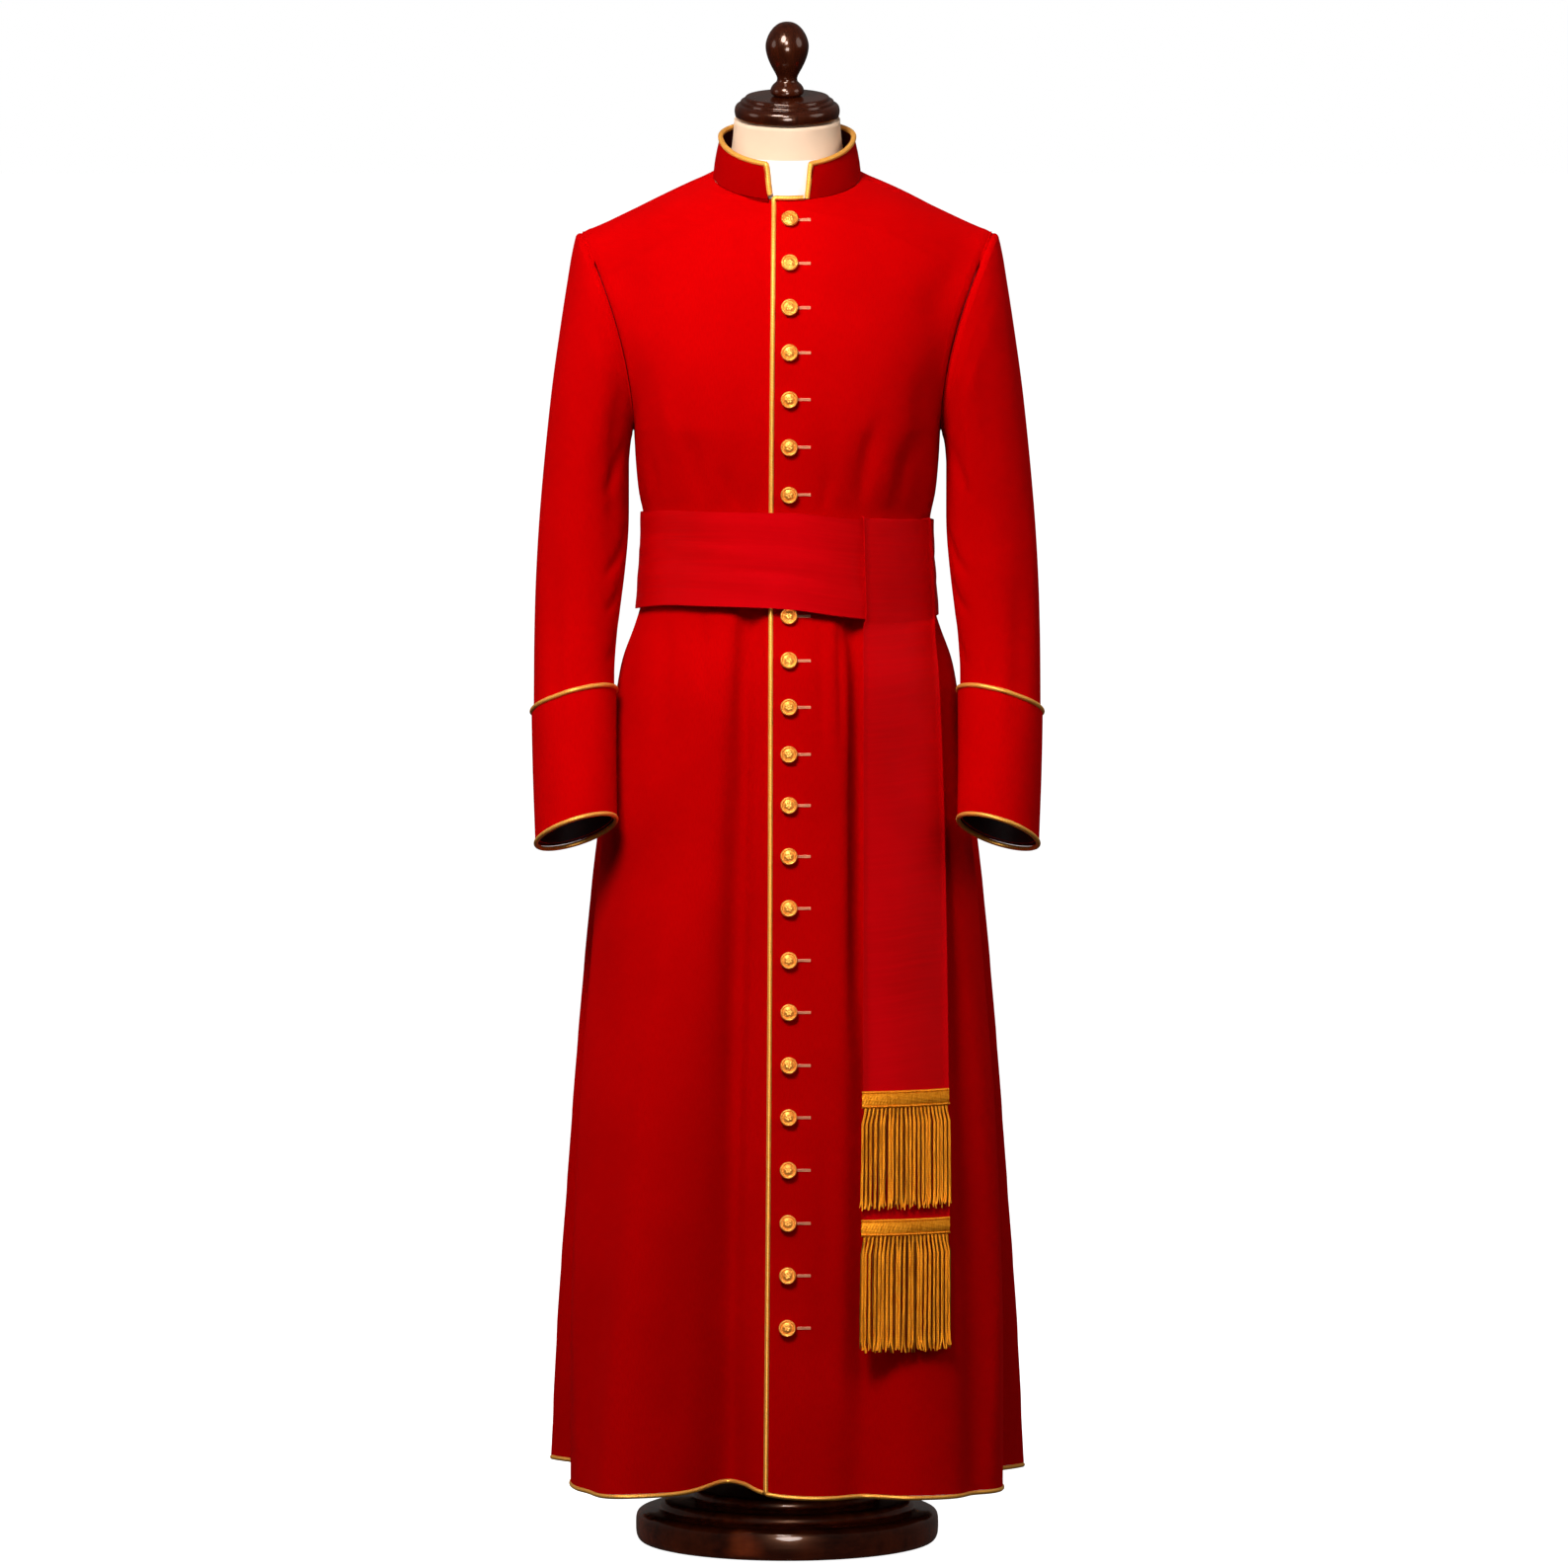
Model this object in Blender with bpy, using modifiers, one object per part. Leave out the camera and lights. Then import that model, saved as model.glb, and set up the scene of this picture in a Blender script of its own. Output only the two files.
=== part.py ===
"""Scarlet wool cassock with gold piping and a fringed sash, worn by a limbless dress form.

Metres, +Z up.  The origin is the centre of the stand's underside.  The garment faces -Y, and the
wearer's left is +X.  Every cloth piece is a thin open shell, and neighbouring pieces keep SEAM apart.
"""
import math

import bmesh
import bpy
import numpy as np
from mathutils import Matrix

NAME = "cassock_on_dress_form"
UP = np.array([0.0, 0.0, 1.0])

# --- cloth and trim sizes -----------------------------------------------------------------------
WALL = 0.0020                  # wool, with its lining and seam allowances
SASH_WALL = 0.0012             # silk sash, two plies
INSERT_WALL = 0.0010           # starched linen
SEAM = 0.0003                  # gap between neighbouring pieces
EDGE_BACK = 0.00025            # how far each panel stops short of a seam line
SLEEVE_CLEAR = 2.4 * EDGE_BACK # how far a sleeve head stops short of its armhole
SHOULDER_BACK = 0.0005         # the same at the shoulder seams
PIPE_RADIUS = 0.0026
PIPE_GAP = 0.0004
HEM_PIPE_BACK = 0.0030         # the hem piping stops this far short of the side seam
HEM_PIPE_LAP = 0.0075          # and this far short of the overlap
CUFF_PIPE_OUT = 0.0014         # the cuff's top piping stands out from the cuff's face
CUFF_PIPE_DROP = 1.2           # share of the usual offset below the cuff's end
NECK_PIPE_ANGLES = (-7.5, 0.0, 12.5)     # reach of the piping across the collar's notch (deg)
NECK_PIPE_AWAY = (0.0, -0.35, 0.70)      # direction it lies off the neck seam
LAP_DROP = ((1.40, 0.0030), (1.50, 0.0060))   # height, how far the right front runs under the left
LAP_EASE = (0.075, 0.035)      # x where the drop begins, and the width over which it grows
LAP_REACH = 0.030              # x of the right front's hidden edge

# --- body sections, one row per height ----------------------------------------------------------
# height, half width, front depth, back depth
BODY = (
    (0.076, 0.2725, 0.2500, 0.2400),
    (0.250, 0.2625, 0.2340, 0.2260),
    (0.400, 0.2505, 0.2190, 0.2120),
    (0.570, 0.2365, 0.1990, 0.1960),
    (0.766, 0.2170, 0.1740, 0.1750),
    (0.900, 0.1985, 0.1580, 0.1570),
    (0.985, 0.1850, 0.1470, 0.1450),
    (1.028, 0.1695, 0.1350, 0.1270),
    (1.050, 0.1630, 0.1295, 0.1180),
    (1.100, 0.1580, 0.1250, 0.1100),
    (1.148, 0.1590, 0.1262, 0.1090),
    (1.175, 0.1645, 0.1290, 0.1105),
    (1.210, 0.1680, 0.1320, 0.1125),
    (1.247, 0.1700, 0.1345, 0.1140),
)
# height, how far the section swells towards a square in front, and behind
SQUARE = (
    (0.076, 0.100, 0.020),
    (0.500, 0.085, 0.015),
    (0.700, 0.030, 0.008),
    (0.800, 0.004, 0.000),
    (0.930, 0.004, 0.000),
    (1.040, 0.000, 0.000),
    (1.148, 0.000, 0.000),
    (1.175, 0.020, 0.020),
    (1.210, 0.050, 0.050),
    (1.247, 0.085, 0.085),
)
CHEST = 1.247                  # height of the underarm
PANEL_ROWS = (0.076, 0.150, 0.240, 0.330, 0.420, 0.510, 0.600, 0.690, 0.780, 0.860, 0.930, 0.985,
              1.028, 1.050, 1.100, 1.148, 1.175, 1.210)

# --- skirt folds, one row per fold --------------------------------------------------------------
# angle at the waist and at the hem, depth at the waist and at the hem as a share of the radius, half
# width at the waist and at the hem (deg), height where it opens
FOLDS = (
    (-14.5, -17.0, -0.078, -0.215, 3.2, 7.5, 1.075),
    (-31.0, -37.0, 0.010, 0.110, 6.0, 7.5, 1.020),
    (27.0, 18.6, -0.095, -0.075, 4.2, 6.0, 1.075),
    (52.0, 47.0, -0.050, -0.060, 4.5, 6.0, 1.040),
    (128.0, 130.0, -0.035, -0.130, 6.0, 8.0, 1.060),
    (158.0, 156.0, -0.040, -0.160, 5.0, 7.5, 1.060),
    (-130.0, -132.0, -0.035, -0.140, 6.0, 8.0, 1.060),
    (-160.0, -157.0, -0.040, -0.150, 5.0, 7.5, 1.060),
)
FOLD_FADE = 0.045              # height over which a fold opens below the sash
PLEAT_TOP = 1.00               # height where the side pleats open
PLEAT_DEPTH = 0.27             # share of the radius at the hem
PLEAT_FRONT = (9.0, 31.0)      # degrees in front of the side seam: at the top, and added at the hem
PLEAT_BACK = (5.0, 8.0)        # the same behind the seam
PLEAT_SHAPE = 1.10             # how sharply the pleat's sides close towards the seam
PLEAT_OPENING = 0.85           # how evenly it deepens towards the hem
PLEAT_COLUMNS = (0.60, 0.25, 0.0)       # columns between a front's pleat edge and the side seam
PLEAT_COLUMN_BACK = 0.45       # the one column between a back's pleat edge and the side seam
HEM_REACH = 6                  # how quickly a panel's rows turn level above its hem
FRONT_COLUMNS = 9              # columns of points from the overlap to the side pleat
BACK_COLUMNS = 11              # columns from the centre back to the side pleat
FLANKS = (-1.5, -0.75, 0.0, 0.75, 1.5)  # columns across a front's main fold, in its half widths

# --- hem heights by angle (deg) -----------------------------------------------------------------
HEM = ((-180, 0.080), (-120, 0.088), (-92, 0.089), (-62, 0.086), (-32, 0.088), (-24, 0.090),
       (-18, 0.098), (-11, 0.098), (-6, 0.092), (0, 0.088), (20, 0.086), (60, 0.081), (92, 0.080),
       (120, 0.080), (180, 0.080))

# --- opening edge of the left front, x by height ------------------------------------------------
OPENING = ((0.076, -0.0210), (0.600, -0.0165), (1.200, -0.0145), (1.500, -0.0118))

# --- yoke rows from the chest to the shoulder seam ----------------------------------------------
# centre height, centre depth, neckline angle, armhole angle, arc (deg), squareness
FRONT_YOKE = (
    (1.2470, 0.1345, 0.0, 180.0, 90.0, 0.085),
    (1.2850, 0.1365, 0.0, 156.0, 85.0, 0.080),
    (1.3300, 0.1360, 0.0, 133.0, 78.0, 0.070),
    (1.3800, 0.1300, 0.0, 111.0, 70.0, 0.055),
    (1.4250, 0.1190, 0.0, 91.0, 62.0, 0.040),
    (1.4650, 0.1025, 0.0, 74.0, 56.0, 0.030),
    (1.5016, 0.0800, 0.0, 58.0, 50.0, 0.020),
    (1.5016, 0.0800, 30.0, 42.0, 45.0, 0.010),
    (1.5016, 0.0800, 55.0, 26.0, 40.0, 0.000),
    (1.5016, 0.0800, 74.0, 12.0, 34.0, 0.000),
    (1.5016, 0.0800, 90.0, 0.0, 30.0, 0.000),
)
BACK_YOKE = (
    (1.2470, 0.1140, 0.0, 180.0, 90.0, 0.085),
    (1.2900, 0.1170, 0.0, 156.0, 84.0, 0.080),
    (1.3400, 0.1190, 0.0, 133.0, 76.0, 0.070),
    (1.3950, 0.1160, 0.0, 111.0, 68.0, 0.055),
    (1.4450, 0.1080, 0.0, 91.0, 60.0, 0.040),
    (1.4950, 0.0920, 0.0, 74.0, 54.0, 0.030),
    (1.5410, 0.0680, 0.0, 58.0, 48.0, 0.020),
    (1.5410, 0.0680, 30.0, 42.0, 44.0, 0.010),
    (1.5410, 0.0680, 55.0, 26.0, 40.0, 0.000),
    (1.5410, 0.0680, 74.0, 12.0, 34.0, 0.000),
    (1.5410, 0.0680, 90.0, 0.0, 30.0, 0.000),
)
NECK_ROW = 6                   # the yoke row that reaches the neckline at the centre
YOKE_DIP = 1.8                 # how late a level yoke row drops towards the armhole
EVEN_CENTRE = (0.0, 9.0, 4.0)  # centre edge, second and middle column of a front that has no overlap
NECK_HALF_WIDTH = 0.0820
NECK_SIDE_HEIGHT = 1.5270

# --- sleeves: one row per ring ------------------------------------------------------------------
# outer x, outer z, inner x, inner z, centre y, half depth, bow towards the body, rise of the front
SLEEVE = (
    (0.2275, 1.4645, 0.1700, 1.2470, 0.0000, 0.0680, 0.0120, 0.000),
    (0.2340, 1.4600, 0.1718, 1.2420, 0.0000, 0.0715, 0.0090, 0.000),
    (0.2390, 1.4400, 0.1738, 1.2320, 0.0000, 0.0740, 0.0050, 0.000),
    (0.2435, 1.4130, 0.1750, 1.2220, -0.001, 0.0740, 0.0025, 0.000),
    (0.2510, 1.3650, 0.1760, 1.2060, -0.002, 0.0710, 0.0010, 0.000),
    (0.2605, 1.2980, 0.1760, 1.1850, -0.004, 0.0660, 0.0000, 0.000),
    (0.2680, 1.2300, 0.1760, 1.1580, -0.006, 0.0615, 0.0000, 0.001),
    (0.2740, 1.1640, 0.1770, 1.1250, -0.009, 0.0580, 0.0000, 0.002),
    (0.2780, 1.1000, 0.1810, 1.0830, -0.016, 0.0550, 0.0000, 0.004),
    (0.2805, 1.0300, 0.1870, 1.0340, -0.028, 0.0520, 0.0000, 0.008),
    (0.2810, 0.9550, 0.1915, 0.9770, -0.048, 0.0500, 0.0000, 0.014),
    (0.2795, 0.8800, 0.1915, 0.9050, -0.074, 0.0485, 0.0000, 0.017),
    (0.2760, 0.7960, 0.1905, 0.8220, -0.104, 0.0470, 0.0000, 0.018),
)
SLEEVE_ROWS = (0, 1, 2, 3, 4, 5, 6, 7, 8, 9, 10, 10.3, 11, 11.97)   # places along the sleeve table
CUFF_ROWS = (10.3, 11, 12)
CUFF_STAND = 0.0026            # the turned-back cuff's outer face stands this far off the sleeve's

# --- collar -------------------------------------------------------------------------------------
COLLAR_LIFT = 0.0008
COLLAR_HALF_WIDTH = 0.0748
COLLAR_FRONT = (0.0770, 1.5371)     # depth and height of the top edge at the centre front
COLLAR_BACK = (0.0640, 1.5840)
COLLAR_SIDE_HEIGHT = 1.5680
NOTCH_LEFT = 0.0245                 # x of the notch's edge on the wearer's left
NOTCH_RIGHT = -0.0215
NOTCH_SPLAY = 0.0036                # the notch is this much wider on each side at the top
STAND_ROWS = (0.0, 0.5, 1.0)        # rows of points up the collar and the insert
COLLAR_ANGLES = (34, 50, 66, 78, 90, 104, 120, 136, 152, 166, 180)
INSERT_ANGLES = (34.0, 50.0)        # where the white insert runs to either side of the notch
INSERT_FADE = 60.0                  # angle at which it dips below the collar's edge
INSERT_LIFT = 0.0010
INSERT_CLEAR = 4.0 * SEAM            # how far it stands inside the collar
INSERT_RISE = 0.0078                # how far it stands above the collar

# --- sash ---------------------------------------------------------------------------------------
# angle (deg), top edge, bottom edge
BAND = (
    (-180, 1.152, 1.044),
    (-90, 1.154, 1.046),
    (-45, 1.160, 1.056),
    (0, 1.160, 1.054),
    (20, 1.154, 1.046),
    (35, 1.150, 1.041),
    (90, 1.145, 1.040),
    (180, 1.152, 1.044),
)
# share of the band's height, half width, front depth, back depth
BAND_SECTION = (
    (0.00, 0.1690, 0.1392, 0.1230),
    (0.35, 0.1664, 0.1370, 0.1178),
    (0.70, 0.1640, 0.1358, 0.1147),
    (1.00, 0.1632, 0.1362, 0.1136),
)
BAND_STEPS = 40
WAIST = 1.100                  # height of the sash's middle
WRAP_LIMIT = 0.995             # widest share of the half width a tail's edge reaches round to
TURN_STEPS = 5                 # steps of the search for a tail edge's angle
# height, x of the inner edge, x of the outer edge
TAIL = ((0.230, 0.0810, 0.1780), (0.530, 0.0834, 0.1770), (0.985, 0.0834, 0.1660),
        (1.100, 0.0830, 0.1560), (1.160, 0.0800, 0.1550))
TAIL_COLUMNS = 6
# end of the cloth, stand-off from the skirt, top and end of the woven header, end of the fringe
UPPER_TAIL = (0.5140, 0.0068, 0.5285, 0.5100, 0.3970)
LOWER_TAIL = (0.3740, 0.0049, 0.3885, 0.3700, 0.2410)
TAIL_ROWS = (1.028, 0.985, 0.930, 0.860, 0.780, 0.690, 0.600)
TAIL_OVER_BAND = 0.0018        # the upper tail's outer face lies this far outside the band
# drop below the band's top, distance outside it: the tail rolls over the top edge of the band
TAIL_ROLL = ((-0.0024, -0.0012), (-0.0022, 0.0004), (-0.0008, TAIL_OVER_BAND),
             (0.0200, TAIL_OVER_BAND), (0.0600, TAIL_OVER_BAND), (0.1020, TAIL_OVER_BAND))
HEADER_WALL = 0.0022
FRINGE_WALL = 0.0034
HEADER_SPREAD = 0.0010         # the header is this much wider than the tail on each side
FRINGE_SPREAD = 0.0025         # and the fringe this much
FRINGE_ROWS = 4
LOWER_TAIL_ROW = 0.440         # one more row of points down the lower tail

# --- buttons ------------------------------------------------------------------------------------
BUTTON_RADIUS = 0.0095
BUTTON_HEIGHTS = (1.4808, 1.4335, 1.3852, 1.3360, 1.2847, 1.2322, 1.1797, 1.1343, 1.0910, 1.0458,
                  0.9976, 0.9470, 0.8954, 0.8397, 0.7840, 0.7273, 0.6706, 0.6139, 0.5561, 0.4994,
                  0.4421, 0.3843, 0.3271, 0.2699)
# height, how far the row of buttons lies to the left of the centre
BUTTON_LINE = ((0.2600, 0.0), (0.6200, 0.0019), (1.0000, 0.0019), (1.4800, 0.0029))
# radius, height above the cloth: from the crown's centre round the rim to the shank
BUTTON_PROFILE = ((0.0, 0.0044), (0.0062, 0.0038), (0.0074, 0.0048), (0.0095, 0.0034),
                  (0.0082, 0.0014), (0.0026, 0.0012), (0.0022, 0.0002), (0.0, 0.0002))
BUTTON_GAP = 0.0003
BUTTON_SIDES = 10

# --- dress form ---------------------------------------------------------------------------------
# height, half width, front depth, back depth
FORM = (
    (0.7200, 0.1180, 0.0850, 0.0900),
    (0.7260, 0.1400, 0.1030, 0.1080),
    (0.7600, 0.1600, 0.1180, 0.1260),
    (0.8400, 0.1680, 0.1240, 0.1330),
    (0.9400, 0.1620, 0.1210, 0.1260),
    (1.0300, 0.1480, 0.1130, 0.1080),
    (1.1000, 0.1400, 0.1080, 0.0960),
    (1.1700, 0.1480, 0.1140, 0.0990),
)
# height, how far the form lies inside the cloth's outer face
FORM_INSET = ((1.20, 0.0120), (1.38, 0.0090), (1.44, 0.0046), (1.60, 0.0046))
FORM_LAP_ROOM = 0.0100         # extra room under the lapped fronts
FORM_LAP_HALF = 0.0850         # x where that room has faded out
FORM_LAP_FADE = 0.0300
NECK_MARGIN = 0.0040           # the form's neck begins this far inside the neck seam
YOKE_TOP = 1.4900              # below this height every point of the form follows the cloth
# height, half width, front depth, back depth, share of the neck's forward tilt
FORM_NECK = (
    (1.5330, 0.0700, 0.0640, 0.0560, 0.5),
    (1.5480, 0.0640, 0.0590, 0.0540, 0.8),
    (1.5700, 0.0605, 0.0570, 0.0550, 1.0),
    (1.5895, 0.0595, 0.0560, 0.0560, 1.0),
)
NECK_TILT = math.radians(9.4)
CAP_BASE = 1.5900
PLATE_SHARES = (0.0, 0.33, 0.67, 1.0)   # columns of points across each flat arm plate
MOST_SIDES = 80                # most sides of a rim that is closed with a flat face
# radius, height above the neck's top
CAP_PROFILE = ((0.0, 0.0257), (0.0440, 0.0257), (0.0466, 0.0244), (0.0470, 0.0216), (0.0505, 0.0212),
               (0.0516, 0.0200), (0.0520, 0.0176), (0.0562, 0.0158), (0.0583, 0.0118), (0.0583, 0.0060),
               (0.0566, 0.0018), (0.0545, 0.0004), (0.0, 0.0004))
FINIAL_PROFILE = ((0.0, 0.1088), (0.0070, 0.1082), (0.0125, 0.1050), (0.0175, 0.1000), (0.0215, 0.0930),
                  (0.0238, 0.0860), (0.0242, 0.0800), (0.0230, 0.0725), (0.0200, 0.0640), (0.0160, 0.0560),
                  (0.0122, 0.0495), (0.0108, 0.0455), (0.0116, 0.0415), (0.0155, 0.0390), (0.0188, 0.0340),
                  (0.0188, 0.0290), (0.0160, 0.0270), (0.0160, 0.0261), (0.0, 0.0261))
BASE_PROFILE = ((0.0, 0.0680), (0.0300, 0.0680), (0.0340, 0.0650), (0.0360, 0.0610), (0.0800, 0.0590),
                (0.1050, 0.0560), (0.1140, 0.0500), (0.1220, 0.0470), (0.1350, 0.0455),
                (0.1420, 0.0420), (0.1460, 0.0370), (0.1580, 0.0350), (0.1660, 0.0310),
                (0.1690, 0.0240), (0.1690, 0.0120), (0.1650, 0.0050), (0.1550, 0.0), (0.0, 0.0))
POLE_PROFILE = ((0.0, 0.7197), (0.0450, 0.7197), (0.0450, 0.7120), (0.0160, 0.7060), (0.0160, 0.0683),
                (0.0, 0.0683))
CAP_SIDES = 28
FINIAL_SIDES = 20
POLE_SIDES = 16
BASE_SIDES = 40


# === curves and tables ==========================================================================
def table(rows, column, where):
    """Smooth (monotone cubic) reading of one column of a table at one or many places."""
    keys = np.array([row[0] for row in rows], float)
    values = np.array([row[column] for row in rows], float)
    slopes = np.diff(values) / np.diff(keys)
    tangents = np.concatenate(([slopes[0]], 0.5 * (slopes[1:] + slopes[:-1]), [slopes[-1]]))
    flat = slopes[1:] * slopes[:-1] <= 0.0
    tangents[1:-1][flat] = 0.0
    where = np.clip(np.asarray(where, float), keys[0], keys[-1])
    index = np.clip(np.searchsorted(keys, where, side="right") - 1, 0, len(keys) - 2)
    span = keys[index + 1] - keys[index]
    t = (where - keys[index]) / span
    return ((2 * t**3 - 3 * t**2 + 1) * values[index] + (t**3 - 2 * t**2 + t) * span * tangents[index]
            + (3 * t**2 - 2 * t**3) * values[index + 1] + (t**3 - t**2) * span * tangents[index + 1])


def ease(t):
    t = np.clip(t, 0.0, 1.0)
    return t * t * (3.0 - 2.0 * t)


def swell(angle, height):
    """How far the section swells between its front, sides and back, as a share of the radius."""
    share = np.where(np.abs(angle) <= 90.0, table(SQUARE, 1, height), table(SQUARE, 2, height))
    return share * np.sin(np.radians(2.0 * angle)) ** 2


def fold_ratio(angle, height):
    """How far the skirt's folds and side pleats move the cloth in or out, as a share of the radius."""
    ratio = np.ones_like(angle)
    for at_waist, at_hem, shallow, deep, narrow, wide, top in FOLDS:
        down = np.clip((top - height) / (top - BODY[0][0]), 0.0, 1.0)
        centre = at_waist + (at_hem - at_waist) * down
        half_width = narrow + (wide - narrow) * down
        depth = (shallow + (deep - shallow) * down) * ease((top - height) / FOLD_FADE)
        ratio = ratio + depth * np.exp(-((angle - centre) / half_width) ** 2)
    down = np.clip((PLEAT_TOP - height) / (PLEAT_TOP - BODY[0][0]), 0.0, 1.0)
    beside = np.abs(angle) - 90.0
    front = PLEAT_FRONT[0] + PLEAT_FRONT[1] * down
    back = PLEAT_BACK[0] + PLEAT_BACK[1] * down
    reach = np.clip(np.abs(beside) / np.where(beside < 0.0, front, back), 0.0, 1.0)
    return ratio + swell(angle, height) - PLEAT_DEPTH * down**PLEAT_OPENING * (1.0 - reach) ** PLEAT_SHAPE


def ring(angle, height):
    """Point on the body below the chest; angle 0 is the centre front and +90 the wearer's left."""
    angle = np.asarray(angle, float)
    height = np.asarray(height, float) * np.ones_like(angle)
    ratio = fold_ratio(angle, height)
    turn = np.radians(angle)
    width = table(BODY, 1, height) * ratio
    depth = np.where(np.abs(angle) <= 90.0, table(BODY, 2, height), table(BODY, 3, height))
    return np.stack([width * np.sin(turn), -depth * ratio * np.cos(turn), height], -1)


def neckline(angle, back):
    """Point on the neck seam; angle 0 is the centre (front or back) and 90 the side."""
    height, depth = (BACK_YOKE if back else FRONT_YOKE)[-1][:2]
    turn = math.radians(angle)
    facing = 1.0 if back else -1.0
    return np.array([NECK_HALF_WIDTH * math.sin(turn), facing * depth * math.cos(turn),
                     NECK_SIDE_HEIGHT + (height - NECK_SIDE_HEIGHT) * math.cos(turn)])


def sleeve_row(along):
    rows = [(index,) + row for index, row in enumerate(SLEEVE)]
    return [float(table(rows, column, along)) for column in range(1, 9)]


def sleeve_ring(along, turns, out=0.0):
    """Ring of the wearer's left sleeve; turn 0 is the outer point, 90 the front, 180 the inner point."""
    outer_x, outer_z, inner_x, inner_z, y, depth, bow, rise = sleeve_row(along)
    reach = math.hypot(outer_x - inner_x, outer_z - inner_z) / 2.0
    stretch = (reach + out) / reach
    cos, sin = np.cos(np.radians(turns)), np.sin(np.radians(turns))
    x = (outer_x + inner_x) / 2.0 + (outer_x - inner_x) / 2.0 * stretch * cos - bow * sin**2
    z = (outer_z + inner_z) / 2.0 + (outer_z - inner_z) / 2.0 * stretch * cos + rise * sin
    return np.stack([x, y - (depth + out) * sin, z], -1)


def yoke_row(row, shares, back):
    """One row of the yoke; share 0 is the centre or neckline, share 1 the armhole."""
    height, depth, neck, turn, arc, square = row
    facing = 1.0 if back else -1.0
    start = neckline(neck, back) if neck > 0.0 else np.array([0.0, facing * depth, height])
    end = sleeve_ring(0.0, np.array([-turn if back else turn]))[0]
    arc = math.radians(arc)
    across = np.sin(shares * arc) / math.sin(arc)
    behind = (1.0 - np.cos(shares * arc)) / (1.0 - math.cos(arc))
    fullness = 1.0 + square * np.sin(np.radians(180.0 * shares)) ** 2
    behind = 1.0 - (1.0 - behind) * fullness
    points = np.empty((len(shares), 3))
    points[:, 0] = start[0] + (end[0] - start[0]) * across * fullness
    points[:, 1] = start[1] + (end[1] - start[1]) * behind
    power = YOKE_DIP - (YOKE_DIP - 1.0) * neck / 90.0
    points[:, 2] = start[2] + (end[2] - start[2]) * np.abs(across) ** power
    return points


# === mesh building ==============================================================================
def collection(name, hidden=False):
    group = bpy.data.collections.new(name)
    bpy.context.scene.collection.children.link(group)
    group.hide_render = hidden
    return group


def material(name, colour, roughness, metallic=0.0):
    made = bpy.data.materials.new(name)
    made.use_nodes = True
    shader = made.node_tree.nodes["Principled BSDF"]
    shader.inputs["Base Color"].default_value = (*colour, 1.0)
    shader.inputs["Roughness"].default_value = roughness
    shader.inputs["Metallic"].default_value = metallic
    return made


def put(name, data, finish):
    made = bpy.data.objects.new(name, data)
    look = material(name, *finish)
    data.materials.append(look)
    GROUP.objects.link(made)
    return made


def grid_faces(rows, columns, closed=False, flip=False):
    faces = []
    for i in range(rows - 1):
        for j in range(columns if closed else columns - 1):
            k = (j + 1) % columns
            face = (i * columns + j, i * columns + k, (i + 1) * columns + k, (i + 1) * columns + j)
            faces.append(face[::-1] if flip else face)
    return faces


def shell(name, grid, finish, wall, closed=False, flip=False):
    """Thin cloth: a grid of points on the outer face, thickened inwards."""
    grid = np.asarray(grid, float)
    rows, columns = grid.shape[:2]
    data = bpy.data.meshes.new(name)
    data.from_pydata(grid.reshape(-1, 3).tolist(), [], grid_faces(rows, columns, closed, flip))
    made = put(name, data, finish)
    solid = made.modifiers.new("cloth", "SOLIDIFY")
    solid.thickness = wall
    solid.offset = -1.0
    return made


def mirrored(grid):
    return np.asarray(grid, float) * np.array([-1.0, 1.0, 1.0])


def lathe(name, profile, finish, sides, matrix=None):
    """Turned piece: the profile runs from the top centre down the outer side to the bottom centre."""
    data = bpy.data.meshes.new(name)
    data.from_pydata([(radius, 0.0, height) for radius, height in profile],
                     [(i, i + 1) for i in range(len(profile) - 1)], [])
    made = put(name, data, finish)
    screw = made.modifiers.new("turn", "SCREW")
    screw.steps = sides
    screw.render_steps = sides
    screw.use_merge_vertices = True
    screw.merge_threshold = 0.00001
    screw.use_normal_calculate = True
    if matrix is not None:
        made.matrix_world = matrix
    return made


def pipe(name, points, closed=False):
    """Corded piping along a line of points."""
    data = bpy.data.curves.new(name, "CURVE")
    data.dimensions = "3D"
    data.bevel_depth = PIPE_RADIUS
    data.bevel_resolution = 1
    data.use_fill_caps = True
    data.twist_mode = "MINIMUM"
    line = data.splines.new("POLY")
    line.points.add(len(points) - 1)
    for point, place in zip(line.points, points):
        point.co = (*place, 1.0)
    line.use_cyclic_u = closed
    return put(name, data, GOLD)


# === body panels ================================================================================
def opening(height):
    return float(table(OPENING, 1, height))


def fold_columns(even, height, fold):
    """Columns spread evenly at the sash and moved below it to the fold's valley and its two flanks."""
    at_waist, at_hem, _, _, narrow, wide, top = fold
    down = min(max((top - height) / (top - BODY[0][0]), 0.0), 1.0)
    centre = abs(at_waist + (at_hem - at_waist) * down)
    valley = centre + (narrow + (wide - narrow) * down) * np.array(FLANKS)
    rest = np.linspace(valley[-1], even[-1], len(even) - len(valley))[1:]
    placed = np.concatenate([even[:1], valley, rest])
    return even + (placed - even) * float(ease((top - height) / FOLD_FADE))


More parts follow.
